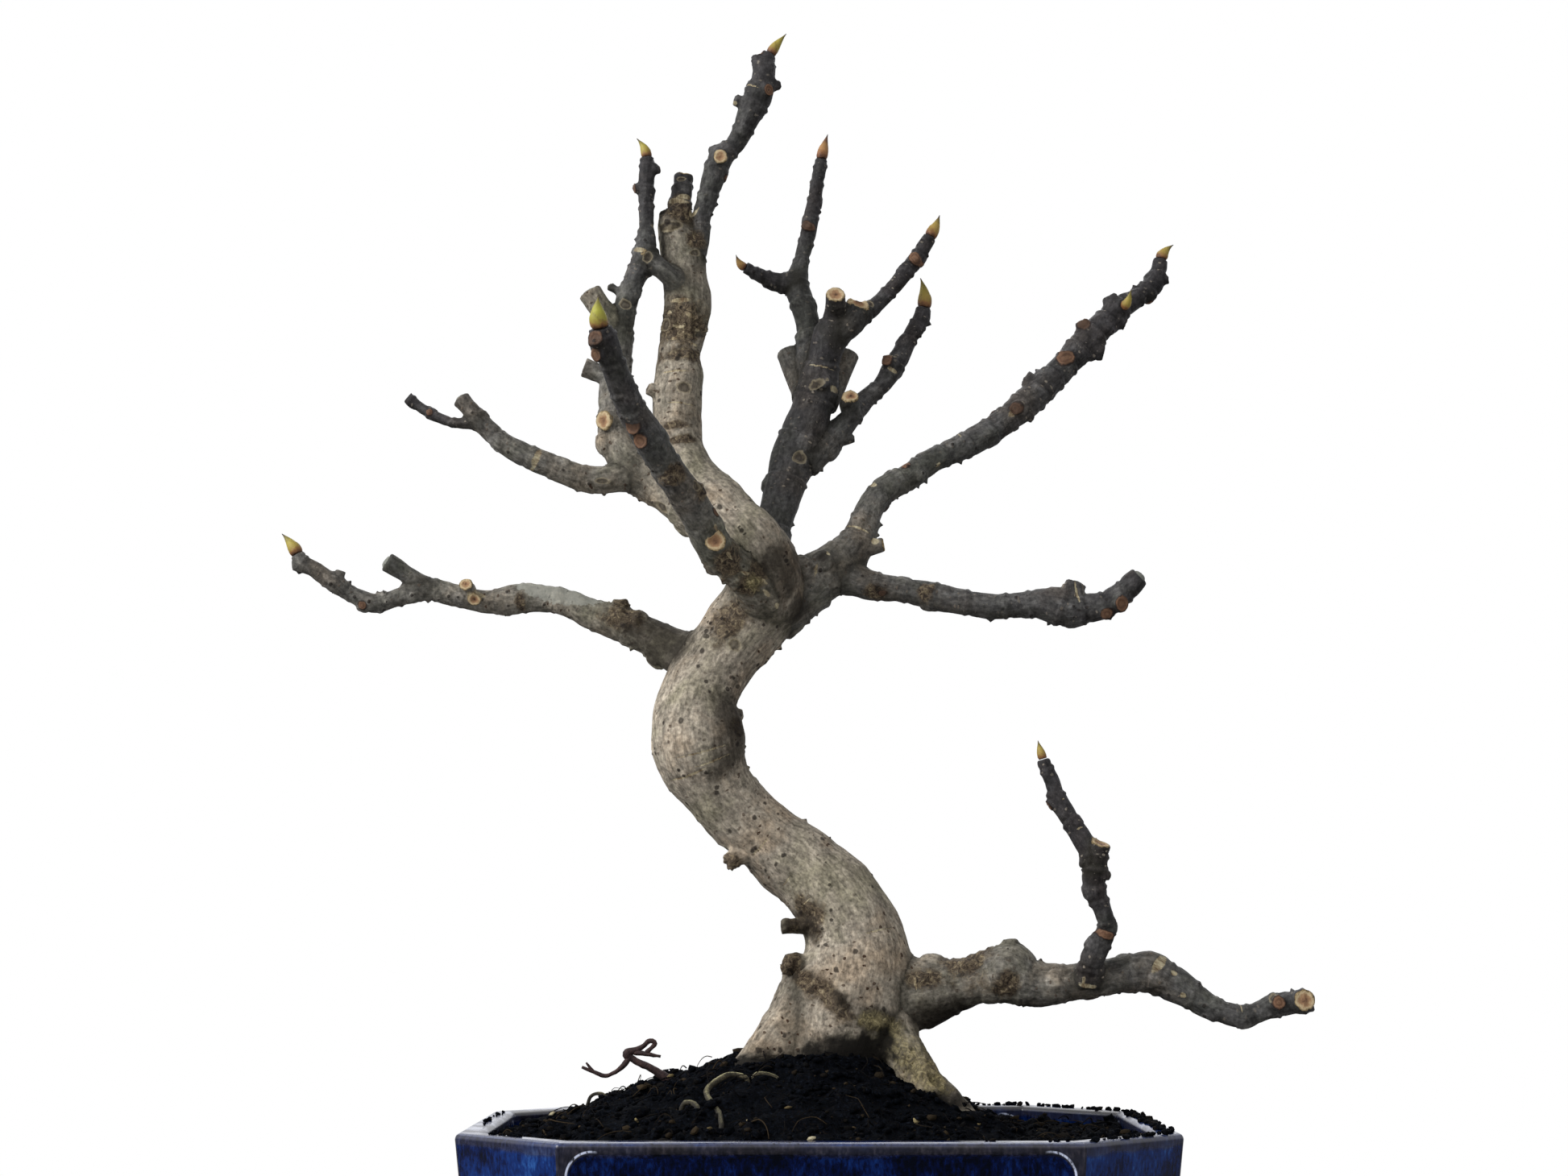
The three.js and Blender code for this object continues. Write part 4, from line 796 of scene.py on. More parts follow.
print(node_count, "leaf nodes")

# %% [markdown]
# Root nubs are the dark points under the limbs, where a fig is ready to root. On the trunk and
# the leader they are mostly low warts, and there they stand all round.

# %% Root nubs
nub_draw = random.Random(12)
nub_count = 0
nub_mask = np.zeros(len(points))
for number, (name, limb) in enumerate(LIMBS.items()):
    path = paths[name]
    mine = np.flatnonzero((owner == number) & (gap < ON_LIMB))
    for _ in range(round(limb.nubs * path.run[-1] / 10)):
        station = nub_draw.randrange(len(path.run))
        angle = nub_draw.uniform(-math.pi, math.pi)
        outward = path.side[station] * math.cos(angle) + path.up[station] * math.sin(angle)
        is_wart = limb.ages[0] > 0.9
        if outward[2] > 0.1 and not is_wart and nub_draw.random() < 0.8:
            continue
        tall, wide = nub_draw.uniform(0.6, 1.5), nub_draw.uniform(0.5, 0.8)
        if is_wart and nub_draw.random() < 0.9:
            tall, wide = 0.3 * tall, 1.4 * wide
        sideways = round_the_limb(turn[mine] - angle)
        away = np.hypot(run[mine] - path.run[station], sideways * thick[mine])
        point = bump(away, wide)
        relief[mine] += tall * point
        nub_mask[mine] = np.maximum(nub_mask[mine], point)
        nub_count += 1
print(nub_count, "root nubs")

# %% [markdown]
# A cut or scarred end is a face of its own. A cut has a raised lip of healing wood and a
# dished heart, so its face is measured from its middle, 1, to its edge, 0. An old end has
# greyed and is worn round.

# %% End faces
cut = np.full(len(points), -1.0)
grey_wood = np.full(len(points), -1.0)
FACES = {"cut": cut, "scar": scar, "old": grey_wood}
FACE_RELIEF = {"cut": (0.4, 0), "scar": (0.3, 0.15), "old": (0, 1.9)}
FACE_GAP, FACE_DEPTH = 1.5, 3


def face_end(name, kind):
    lie = lies[name]
    end_radius = paths[name].radius[-1]
    inner = 1 - lie.away / end_radius
    outer = lie.past / 2
    value = np.where(lie.past > -0.5, np.minimum(inner, 1 + outer), outer)
    on_face = (lie.gap < FACE_GAP) & (lie.past > -FACE_DEPTH)
    who, value = lie.who[on_face], np.clip(value[on_face], -1, 1)
    field = FACES[kind]
    field[who] = np.maximum(field[who], value)
    lip = (bump(value - 0.2, 0.14) - 0.8 * np.clip(value - 0.35, 0, 1)) * (value > -0.1)
    rounded = -bump(value, 0.35)
    lip_height, rounding = FACE_RELIEF[kind]
    relief[who] += lip_height * lip + rounding * rounded


for name, limb in LIMBS.items():
    if limb.end != "bark":
        face_end(name, limb.end)
for kind in ("cut", "scar"):
    for i in range(len(STUMPS[kind])):
        face_end(f"{kind}_stump_{i}", kind)
print("points on end faces:", int((np.maximum(cut, grey_wood) > 0).sum()))


# %% [markdown]
# The marks that make this tree this one tree are placed by where the camera sees them: a
# line of sight through a pixel of the photo meets the limb, and the mark is drawn there on
# the bark, as long along the limb and as wide across it as it is in millimetres. A scar is
# brown, cream is dry new wood and a crease a fine line of it, though some cream marks are
# painted highlights, on knobs at the leader's top and on the shaded base of the front branch.
# An eye is a healed spot with a ring round it, and crackle and moss are patches of flaking and
# of pale crust. The dark marks are painted shade where a limb turns from the light or lies
# under another, with some dark bark among them, and the soil marks paint a shadow at the
# trunk's foot. Grey is a grey stain, and the rest are a pit in the bark, its shade painted dark,
# and a hollow cut.

# %% Marks seen in the photo
class Mark(NamedTuple):
    column: int
    row: int
    long: float
    wide: float
    tilt: float = 0


MARKS = {
    "scar": [
        (963, 117, 4, 3), (533, 512, 2.6, 2.2), (450, 751, 3.4, 3), (887, 636, 3.6, 3),
        (1002, 281, 3.4, 5), (1137, 322, 4.2, 4), (1125, 579, 3.6, 3), (1320, 445, 6, 6),
        (1346, 402, 5, 5), (1095, 737, 3, 2.6), (1372, 1160, 3, 7), (1340, 1070, 2.6, 2.2),
    ],
    # Cream is dry new wood, except for painted highlights: on the front branch's shaded base, from (906,
    # 690) to (888, 655), and on the leader's top knobs, (830, 284) to (850, 244).
    "cream": [
        (912, 128, 2.4, 2), (855, 272, 1.6, 1.2), (838, 249, 2.2, 9), (799, 488, 9, 2.6),
        (795, 311, 2, 4), (952, 737, 6, 2), (666, 568, 3, 10), (590, 738, 8, 3.4),
        (1036, 484, 3.2, 7), (1107, 459, 1.8, 5), (1013, 707, 1.4, 5, -30), (1028, 686, 1.2, 3),
        (1086, 672, 3, 4), (1084, 602, 3, 4), (1165, 577, 3, 1.6), (1257, 512, 5.4, 3),
        (1007, 730, 1.2, 1.2), (1415, 710, 4, 3), (1440, 1195, 4, 11), (1458, 1208, 3, 2.6),
        (1468, 1236, 2.4, 2.4), (1350, 1224, 2, 7), (1320, 992, 0.7, 3), (1340, 1028, 0.7, 3),
        (1136, 1222, 1.2, 7), (906, 690, 5, 1.8), (926, 712, 6, 1.6, 20), (948, 722, 4, 1.4),
        (962, 750, 5, 2), (888, 655, 4, 1.6), (829, 388, 2, 4), (858, 392, 2, 5),
        (842, 404, 1.6, 6), (868, 410, 2, 3), (835, 420, 1.6, 5), (862, 428, 1.6, 4),
        (830, 284, 2.4, 6), (858, 268, 2, 4), (850, 244, 2, 6), (1345, 1216, 4, 1.6),
    ],
    "eye": [
        (862, 314, 3.4, 5.4), (845, 222, 2, 4), (829, 281, 3.6, 9), (826, 402, 5.6, 5),
        (849, 481, 5, 6), (804, 320, 4, 5), (777, 378, 4.4, 5), (747, 597, 6, 2.8),
        (864, 603, 5, 5), (821, 630, 7, 4), (1010, 478, 4, 6), (992, 568, 6, 6), (1104, 440, 4, 5),
        (1582, 1240, 4, 4.6), (912, 800, 5, 6), (1078, 376, 3, 5),
    ],
    "crease": [
        (932, 106, 0.8, 9), (838, 460, 0.9, 15), (845, 372, 1.6, 12), (1020, 455, 0.8, 12),
        (1062, 654, 0.9, 13), (1188, 540, 0.8, 9), (1336, 734, 1, 10), (1540, 1250, 0.8, 7),
        (870, 934, 0.8, 28), (852, 964, 1, 20), (885, 945, 0.8, 16), (945, 1050, 0.9, 13),
        (1090, 1155, 0.8, 18), (975, 1095, 0.8, 9), (1000, 1120, 0.7, 7), (846, 500, 0.8, 16),
    ],
    "crackle": [
        (851, 398, 23, 19), (838, 527, 4, 15), (646, 748, 5, 9), (768, 752, 9, 9),
        (838, 590, 9, 12), (1150, 733, 8, 10), (1250, 1222, 11, 13), (1200, 1190, 24, 20),
        (903, 772, 24, 17), (914, 902, 12, 9), (1004, 1138, 22, 17), (905, 1072, 9, 10),
        (1148, 1215, 20, 10), (985, 1147, 9, 10), (982, 1194, 9, 10), (1002, 1222, 9, 20, -20),
        (905, 700, 16, 16), (934, 722, 16, 16), (846, 400, 26, 24), (850, 440, 8, 20),
        (862, 300, 10, 12), (846, 545, 5, 18), (870, 610, 8, 12), (815, 650, 12, 14),
        (1085, 735, 12, 8), (1030, 1236, 11, 30, -28), (900, 1075, 7, 9), (840, 262, 14, 14),
        (775, 766, 22, 13),
    ],
    "moss": [
        (1150, 1330, 26, 20), (1105, 1285, 14, 16), (1122, 1308, 26, 20), (1086, 1268, 9, 16),
        (936, 724, 12, 8),
    ],
    # Painted shade where a limb turns from the light or lies under another limb, with some dark bark among
    # it.
    "dark": [
        (1022, 692, 6, 6), (900, 950, 14, 20, 25), (912, 900, 48, 30), (1000, 1152, 14, 12),
        (1168, 1264, 34, 24), (1226, 1252, 24, 12), (972, 1150, 12, 12), (946, 892, 18, 12),
        (1090, 1262, 9, 26), (992, 700, 34, 18), (988, 752, 16, 16), (1190, 1365, 12, 12),
        (1045, 1240, 7, 16, -25), (990, 1215, 4, 8, -20), (964, 692, 16, 20), (978, 714, 30, 18),
        (1084, 1272, 12, 18), (824, 790, 42, 36), (786, 784, 18, 8), (1045, 1306, 16, 34),
    ],
    # Painted shadow between the trunk and its right-hand root.
    "soil": [(1068, 1306, 22, 42), (1096, 1290, 14, 12)],
    "grey": [(692, 736, 34, 8)],
    # A sunk slit whose shade is painted dark.
    "pit": [(1168, 1347, 15, 5)],
    "hollow": [(1066, 373, 5, 8)],
}

# %% Draw the marks
class MarkKind(NamedTuple):
    """The field that a mark is drawn in, and how high its inside and its lip stand, in mm."""
    field: np.ndarray
    inside: float = 0
    lip: float = 0
    uneven: np.ndarray = np.zeros(len(points))


cream, eye, crackle, dark, moss, painted_foot_shadow = (np.full(len(points), -1.0) for _ in range(6))
MARK_KINDS = {
    "scar": MarkKind(scar, 0.3, 0.15), "cream": MarkKind(cream, -0.15, 0.12),
    "eye": MarkKind(eye, -0.25, 0.35), "crease": MarkKind(cream, -0.3),
    "crackle": MarkKind(crackle, uneven=0.5 * (knobs + torn)), "moss": MarkKind(moss, uneven=0.25 * torn),
    "dark": MarkKind(dark), "soil": MarkKind(painted_foot_shadow), "grey": MarkKind(grey_wood, 0.4),
    "pit": MarkKind(dark, -1.6, 0.5), "hollow": MarkKind(cut, -0.5, 0.4),
}


def engrave(kind, mark):
    """Draws one mark into its field and into the relief. False where no limb is in sight."""
    place, _, _, _ = limb_hull.ray_cast(camera.location, sight_line(mark.column, mark.row))
    if place is None:
        return False
    place = np.array((place - RIM) / MM)
    nearest = int(np.argmin(((points - place) ** 2).sum(1)))
    path = paths[limb_names[owner[nearest]]]
    along = path.along[min(np.searchsorted(path.run, run[nearest]), len(path.run) - 1)]
    normal = normals[nearest]
    along = unit(along - normal * np.dot(along, normal))
    across = np.cross(normal, along)
    lean = math.radians(mark.tilt)
    along, across = (along * math.cos(lean) + across * math.sin(lean),
                     across * math.cos(lean) - along * math.sin(lean))
    offset = points - place
    reach = 0.8 * max(mark.long, mark.wide) + 1.5
    near = np.flatnonzero((np.abs(offset) < reach).all(1) & (normals @ normal > -0.1))
    offset = offset[near]
    spread = np.hypot(offset @ along / (mark.long / 2), offset @ across / (mark.wide / 2))
    value = np.clip(1 - spread + 0.15 * torn[near], -1, 1)
    kind.field[near] = np.maximum(kind.field[near], value)
    inside = np.clip(value * 3, 0, 1)
    lip = bump(value - 0.1, 0.15)
    relief[near] += (kind.inside + kind.uneven[near]) * inside + kind.lip * lip
    return True


seen = [engrave(MARK_KINDS[name], Mark(*row)) for name, rows in MARKS.items() for row in rows]
print(sum(seen), "of", len(seen), "marks lie on a limb")

# %% [markdown]
# The skin is moved out or in along its normals by the relief. It is then thinned, which keeps
# the small faces where the bark is rough and spends few on the smooth trunk. Every value that
# the bark's colour needs rides along as an attribute of the points. One of them darkens the bark
# towards the compost, below a line that falls towards the right-hand root, and carries the
# painted shadow between the trunk and that root.

# %% Raise the relief and thin the skin
SKIN_TRIANGLES = 190000
SOIL_LINE, SOIL_LINE_SLOPE, DARKENING_FADE = 32, 0.55, 13
# The bark darkens towards the compost below this line, and the foot's painted shadow is added to it.
soil_line = SOIL_LINE - SOIL_LINE_SLOPE * np.clip(points[:, 0] - 8, 0, 50) + 8 * lumps
soiled = np.clip(np.maximum((soil_line - points[:, 2]) / DARKENING_FADE, 1.3 * painted_foot_shadow), 0, 1)
moved = points + normals * relief[:, None]
skin_mesh.vertices.foreach_set("co", (moved * MM + np.array(RIM)).ravel())
POINT_VALUES = {
    "age": age, "rough": rough, "scar": scar, "cut": cut, "grey_wood": grey_wood, "cream": cream,
    "eye": eye, "crackle": crackle, "dark": dark, "moss": moss, "ring": ring, "soiled": soiled,
    "fine": relief - broad, "nub": nub_mask, "crotch": crotch, "under": np.clip(-normals[:, 2], 0, 1),
}
for name, values in POINT_VALUES.items():
    store(skin_mesh, name, values)
layer = skin_mesh.attributes.new("grain", "FLOAT_VECTOR", "POINT")
layer.data.foreach_set("vector", grain.astype(np.float32).ravel())
skin_mesh.update()
thin = tree_piece.modifiers.new("thin", "DECIMATE")
thin.ratio = min(1, SKIN_TRIANGLES / (2 * len(skin_mesh.polygons)))
skin_mesh = settle(tree_piece)
skin_mesh.calc_loop_triangles()
print("bark:", len(skin_mesh.loop_triangles), "triangles")


# %% [markdown]
# Fig bark is smooth and grown, not cracked: pale grey-beige on old wood, nearly black with a
# brown cast on last year's shoots. Corky lenticels dot it. The age of the wood picks the
# ground colour, and the fibre and the grit vary it.

# %% Fig bark: the ground
MOTTLE_MM, SPECK_MM, BLOTCH_MM, PALE_PATCH_MM = 7, 1.5, 22.2, 8.33
LENTICEL_GAP_MM, DOT_GAP_MM, WAVE_MM = 3.8, 2.38, 1.11
bark, nodes, in_mm = new_material("fig_bark")
value = {name: add(nodes, "Attribute", attribute_name=name, out="Fac") for name in POINT_VALUES}
limb_mm = add(nodes, "Attribute", attribute_name="grain", out="Vector")
fibre_mm = add(nodes, "VectorMath", {0: limb_mm, 1: (0.3, 1, 1)}, operation="MULTIPLY")
mottle = add(nodes, "TexNoise", {"Vector": in_mm, "Scale": 1 / MOTTLE_MM, "Detail": 7, "Roughness": 0.68})
grit = add(nodes, "TexNoise", {"Vector": in_mm, "Scale": 1 / SPECK_MM, "Detail": 3, "Roughness": 0.6})
fibre = add(nodes, "TexNoise", {"Vector": fibre_mm, "Scale": 1 / FIBRE_MM, "Detail": 4, "Roughness": 0.7})
blotch = add(nodes, "TexNoise", {"Vector": in_mm, "Scale": 1 / BLOTCH_MM, "Detail": 4, "Roughness": 0.6})
stray = add(nodes, "MapRange", {"Value": mottle, "To Min": -0.24, "To Max": 0.24})
aged = add(nodes, "Math", {0: value["age"], 1: stray}, operation="ADD")
ground = add(nodes, "ValToRGB", {"Fac": aged}, stops=[
    (0.0, "#282628"), (0.16, "#3a3839"), (0.34, "#525150"), (0.52, "#6c6963"),
    (0.74, "#878073"), (0.97, "#a59b8c")])
warmth = add(nodes, "ValToRGB", {"Fac": blotch}, stops=[
    (0.36, "#e3e6dc"), (0.5, "#ffffff"), (0.64, "#faf0e6")])
ground = add(nodes, "Mix", {0: 1.0, 6: ground, 7: warmth}, **COLOURS, blend_type="MULTIPLY")
streak = add(nodes, "MapRange", {"Value": fibre, "From Min": 0.32, "From Max": 0.68,
                                 "To Min": 0.55, "To Max": 1.4})
speck = add(nodes, "MapRange", {"Value": grit, "From Min": 0.3, "From Max": 0.7,
                                "To Min": 0.5, "To Max": 1.45})
shade = add(nodes, "Math", {0: streak, 1: speck}, operation="MULTIPLY")
# Painted shade and light: bark sunk below its lumps is darkened, and raised bark lightened.
painted_relief_shade = add(nodes, "MapRange", {"Value": value["fine"], "From Min": -0.5, "From Max": 0.6,
                                         "To Min": 0.45, "To Max": 1.3})
shade = add(nodes, "Math", {0: shade, 1: painted_relief_shade}, operation="MULTIPLY")
ground = add(nodes, "VectorMath", {0: ground, "Scale": shade}, operation="SCALE")
pale_wood = add(nodes, "TexNoise", {"Vector": in_mm, "Scale": 1 / PALE_PATCH_MM, "Detail": 8,
                                    "Roughness": 0.78})
pale_wood = add(nodes, "MapRange", {"Value": pale_wood, "From Min": 0.54, "From Max": 0.68, "To Max": 0.36})
is_old = add(nodes, "MapRange", {"Value": value["age"], "From Min": 0.35, "From Max": 0.8})
pale_wood = add(nodes, "Math", {0: pale_wood, 1: is_old}, operation="MULTIPLY")
ground = add(nodes, "Mix", {0: pale_wood, 6: ground, 7: linear("#b9b09e")}, **COLOURS)
# Painted shade: the ground darkens, in patches, on the undersides of limbs and where two limbs meet.
painted_shade = add(nodes, "MapRange", {"Value": mottle, "From Min": 0.3, "From Max": 0.65})
below = add(nodes, "Math", {0: value["under"], 1: painted_shade}, operation="MULTIPLY")
painted_shade = add(nodes, "Math", {0: below, 1: value["crotch"]}, operation="MAXIMUM")
painted_shade = add(nodes, "MapRange", {"Value": painted_shade, "From Min": 0.1, "From Max": 0.9, "To Max": 0.72})
ground = add(nodes, "Mix", {0: painted_shade, 6: ground, 7: linear("#25231c")}, **COLOURS)

# %% Fig bark: lenticels
wander = add(nodes, "MapRange", {"Value": grit, "From Min": 0.25, "From Max": 0.75,
                                 "To Min": -0.16, "To Max": 0.16})
wavy = add(nodes, "TexNoise", {"Vector": in_mm, "Scale": 1 / WAVE_MM, "Detail": 1}, out="Color")
short_mm = add(nodes, "VectorMath", {0: limb_mm, 1: (1.5, 1, 1)}, operation="MULTIPLY")
wavy_mm = add(nodes, "VectorMath", {0: wavy, 1: short_mm}, operation="ADD")
corky = add(nodes, "TexVoronoi", {"Vector": wavy_mm, "Scale": 1 / LENTICEL_GAP_MM}, out="Distance")
where = add(nodes, "MapRange", {"Value": blotch, "From Min": 0.42, "From Max": 0.6,
                                "To Min": 0.25, "To Max": 1.0})
lenticel = add(nodes, "MapRange", {"Value": corky, "From Min": 0.21, "From Max": 0.13}, **SOFTLY)
lenticel = add(nodes, "Math", {0: lenticel, 1: where}, operation="MULTIPLY")
cork = add(nodes, "ValToRGB", {"Fac": value["age"]}, stops=[(0.2, "#7f776c"), (0.6, "#3b2b20")])
colour = add(nodes, "Mix", {0: lenticel, 6: ground, 7: cork}, **COLOURS)
dots = add(nodes, "TexVoronoi", {"Vector": wavy_mm, "Scale": 1 / DOT_GAP_MM}, out="Distance")
dots = add(nodes, "MapRange", {"Value": dots, "From Min": 0.13, "From Max": 0.08, "To Max": 0.4})
dots = add(nodes, "Math", {0: dots, 1: where}, operation="MULTIPLY")
colour = add(nodes, "Mix", {0: dots, 6: colour, 7: linear("#8d867b")}, **COLOURS)

# %% [markdown]
# Over the ground lie the marks. Each has a colour of its own and a mask, made from a field of
# the skin whose edge is torn by the grit. They are laid one over the other in this order,
# from the oldest crack to the last crumb of soil.

# %% Fig bark: marks
FLAKE_MM = 2
flakes = add(nodes, "TexNoise", {
    "Vector": in_mm, "Scale": 1 / FLAKE_MM, "Detail": 4, "Roughness": 0.75, "Distortion": 1.2})
flaky = add(nodes, "ValToRGB", {"Fac": flakes}, stops=[
    (0.36, "#17110d"), (0.46, "#3a2f24"), (0.56, "#5d5141"), (0.65, "#7f7259"), (0.74, "#a2967a")])
uneven = add(nodes, "MapRange", {"Value": mottle, "To Min": -0.6, "To Max": 0.6})
scar_depth = add(nodes, "Math", {0: value["scar"], 1: uneven}, operation="ADD")
scarred = add(nodes, "ValToRGB", {"Fac": scar_depth}, stops=[
    (0.0, "#2a1c17"), (0.15, "#584030"), (0.3, "#80604a"), (0.5, "#5e4231"), (0.75, "#80614a"),
    (1.0, "#33241b")])
weathered = add(nodes, "MapRange", {"Value": blotch, "From Min": 0.42, "From Max": 0.56,
                                    "To Min": 0.1, "To Max": 0.8})
scarred = add(nodes, "Mix", {0: weathered, 6: scarred, 7: linear("#41332b")}, **COLOURS)
cut_depth = add(nodes, "Math", {0: value["cut"], 1: wander}, operation="ADD")
corked = add(nodes, "ValToRGB", {"Fac": cut_depth}, stops=[
    (0.0, "#2c2219"), (0.12, "#8a7858"), (0.26, "#b8a584"), (0.46, "#9a7b5c"), (0.76, "#7a5c46"),
    (0.94, "#34251b")])
eye_depth = add(nodes, "Math", {0: value["eye"], 1: uneven}, operation="ADD")
ringed = add(nodes, "ValToRGB", {"Fac": eye_depth}, stops=[
    (0.0, "#352b23"), (0.14, "#948a73"), (0.3, "#6f6553"), (0.45, "#3a332b"), (0.8, "#5d5549")])
# Dry new wood, and the painted highlights that some cream marks stand for.
dry = add(nodes, "ValToRGB", {"Fac": fibre}, stops=[
    (0.34, "#5c4632"), (0.5, "#9c8f72"), (0.66, "#cbc1a2")])
mossy = add(nodes, "ValToRGB", {"Fac": flakes}, stops=[
    (0.34, "#332e20"), (0.47, "#625a40"), (0.6, "#968a64"), (0.72, "#c6bb94")])
# Of these layers, the dark one is mostly painted shade, the one at the foot darkens the bark towards the
# compost and paints a shadow there, and cream is partly painted highlight.
LAYERS = [
    ("ring", 0.7, 0.1, 0.35, "#1d1a1a"), ("crackle", 0.0, 0.5, 0.92, flaky),
    ("grey_wood", 0.05, 0.12, 0.7, "#8b8c84"), ("dark", 0.0, 0.7, 0.8, "#221d18"),
    ("moss", 0.0, 0.7, 0.8, mossy), ("cream", 0.05, 0.3, 0.75, dry), ("eye", 0.0, 0.2, 0.7, ringed),
    ("scar", -0.2, 0.0, 0.8, "#201714"), ("scar", 0.0, 0.18, 0.92, scarred),
    ("cut", -0.04, 0.06, 1.0, corked), ("nub", 0.25, 0.6, 0.85, "#1b1614"),
    ("soiled", 0.25, 0.8, 0.97, "#12100d"),
]
SPREADING = {"crackle", "dark", "moss", "soiled", "cream", "eye", "scar"}
for name, low, high, most, over in LAYERS:
    torn_edge = add(nodes, "Math", {0: value[name], 1: uneven if name in SPREADING else wander},
                    operation="ADD")
    mask = add(nodes, "MapRange", {"Value": torn_edge, "From Min": low, "From Max": high,
                                   "To Max": most}, **SOFTLY)
    over = linear(over) if isinstance(over, str) else over
    colour = add(nodes, "Mix", {0: mask, 6: colour, 7: over}, **COLOURS)

# %% Fig bark: shine and fine relief
tip = add(nodes, "Math", {0: fibre, 1: grit}, operation="ADD")
height = add(nodes, "Math", {0: tip, 1: lenticel}, operation="ADD")
raised = add(nodes, "Bump", {"Height": height, "Strength": 0.6, "Distance": 0.4 * MM})
gloss = add(nodes, "MapRange", {"Value": value["age"], "To Min": 0.6, "To Max": 0.9})
shader = add(nodes, "BsdfPrincipled", {
    "Base Color": colour, "Roughness": gloss, "Normal": raised, "Specular IOR Level": 0.16})
add(nodes, "OutputMaterial", {"Surface": shader})

dress(skin_mesh, bark)


def rides(piece, slot, *nodes_replaced):
    """Puts a piece on the plant's one body and hides the nodes that it stands for. Its finish, slot, is not
    used.
    """
    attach(piece, "root")
    if nodes_replaced:
        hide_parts(*nodes_replaced)


rides(tree_piece, "bark", "tree")
print("bark layers:", len(LAYERS))

# %% [markdown]
# A fig's end bud is a pointed cone, wrapped by scales that overlap along one winding seam.
# Each is swept like a limb, and then its points are pushed out towards the seam, so that the
# scale's edge stands proud where it laps over the next.

# %% Buds
SEAT_GAP = 0.3
BUD_STEP = 0.3
BUD_OUTLINE = [(0, 0.86), (0.14, 1), (0.36, 0.92), (0.62, 0.58), (0.86, 0.2), (1, 0.05)]
BUD_SIDES = 26
BUD_VALUES = ("share", "lap", "ripe")


class Bud(NamedTuple):
    on: str
    length: float
    radius: float
    lean: tuple
    seam: float
    ripe: float


BUDS = {
    "bud_top": Bud("top_shoot", 8.4, 2, (1.6, 0, 0.6), 0.2, 0.35),
    "bud_left_top": Bud("left_limb", 7.2, 2, (-3.4, 0, 0), 0.6, 0.3),
    "bud_back_left": Bud("back_left_shoot", 10, 2.2, (0.8, 0, 0), 0.1, 1.0),
    "bud_small_left": Bud("small_left_shoot", 5.4, 1.7, (1.4, 0, 2.4), 0.8, 0.85),
    "bud_back_right": Bud("back_right_shoot", 9.4, 2.4, (-1, 0, 0.8), 0.4, 0.6),
    "bud_sub_branch": Bud("sub_branch", 11, 2.7, (-3.2, 0, 0.6), 0.75, 0.45),
    "bud_right_long": Bud("right_long", 6.6, 2.3, (3.4, 0, -0.8), 0.3, 0.5),
    "bud_right_side": Bud("bark_stump_31", 5.6, 1.9, (-0.4, 0.4, 4.8), 0.55, 0.4),
    "bud_front": Bud("front_branch", 10, 3.1, (1.6, 2.4, 1), 0.9, 0.0),
    "bud_lower_left": Bud("lower_left", 9, 2.4, (-2, 0, -0.6), 0.5, 0.35),
    "bud_standing": Bud("standing_tip", 6.4, 1.6, (0.2, 0, 0.2), 0.0, 0.5),
}


def bud_form(bud):
    at, along = paths[bud.on].at[-1], paths[bud.on].along[-1]
    lean = np.array(bud.lean)
    route = [(*(at + along * (SEAT_GAP + share * bud.length) + lean * share ** 2), bud.radius * fat)
             for share, fat in BUD_OUTLINE]
    path = smooth_path(route, BUD_STEP)
    form = bmesh.new()
    layers = [form.verts.layers.float.new(name) for name in BUD_VALUES]
    for vert in sweep(form, path, BUD_SIDES):
        place = np.array((vert.co - RIM) / MM)
        station = int(((path.at - place) ** 2).sum(1).argmin())
        offset = place - path.at[station]
        angle = math.atan2(offset @ path.up[station], offset @ path.side[station])
        share = path.run[station] / path.run[-1]
        lap = (angle / (2 * math.pi) + 0.75 * share + bud.seam) % 1
        second = (-angle / (2 * math.pi) + 1.1 * share + bud.seam + 0.3) % 1
        swell = 0.96 + 0.12 * lap ** 3 * (1 - share) + 0.05 * (second ** 4) * (1 - share)
        vert.co = spot(*(path.at[station] + offset * swell))
        for layer, amount in zip(layers, (share, lap, bud.ripe)):
            vert[layer] = amount
    bmesh.ops.recalc_face_normals(form, faces=form.faces)
    return form


# %% [markdown]
# Bud scales are thin, smooth and waxy: brown at the base, yellow-green along the cone and
# brown again where the tip has dried. Fine freckles cover them, and a riper bud is browner.

# %% Bud material
FRECKLE_MM = 1.43
bud_skin, nodes, in_mm = new_material("fig_bud_scale")
share, lap, ripe = (add(nodes, "Attribute", attribute_name=name, out="Fac") for name in BUD_VALUES)
freckle = add(nodes, "TexNoise", {"Vector": in_mm, "Scale": 1 / FRECKLE_MM, "Detail": 4, "Roughness": 0.6})
stray = add(nodes, "MapRange", {"Value": freckle, "To Min": -0.16, "To Max": 0.16})
along_bud = add(nodes, "Math", {0: share, 1: stray}, operation="ADD")
green = add(nodes, "ValToRGB", {"Fac": along_bud}, stops=[
    (0.0, "#4c3020"), (0.12, "#7d5a30"), (0.26, "#8d8534"), (0.55, "#9c9a3a"),
    (0.8, "#7d7734"), (0.97, "#3a2a1e")])
brown = add(nodes, "ValToRGB", {"Fac": along_bud}, stops=[
    (0.0, "#3f261a"), (0.14, "#7f5233"), (0.35, "#a0764a"), (0.55, "#9a7446"),
    (0.74, "#5d3f2a"), (0.95, "#2a1c17")])
colour = add(nodes, "Mix", {0: ripe, 6: green, 7: brown}, **COLOURS)
seam = add(nodes, "MapRange", {"Value": lap, "From Min": 0.9, "From Max": 1.0, "To Max": 0.5})
colour = add(nodes, "Mix", {0: seam, 6: colour, 7: linear("#4a3a1c")}, **COLOURS)
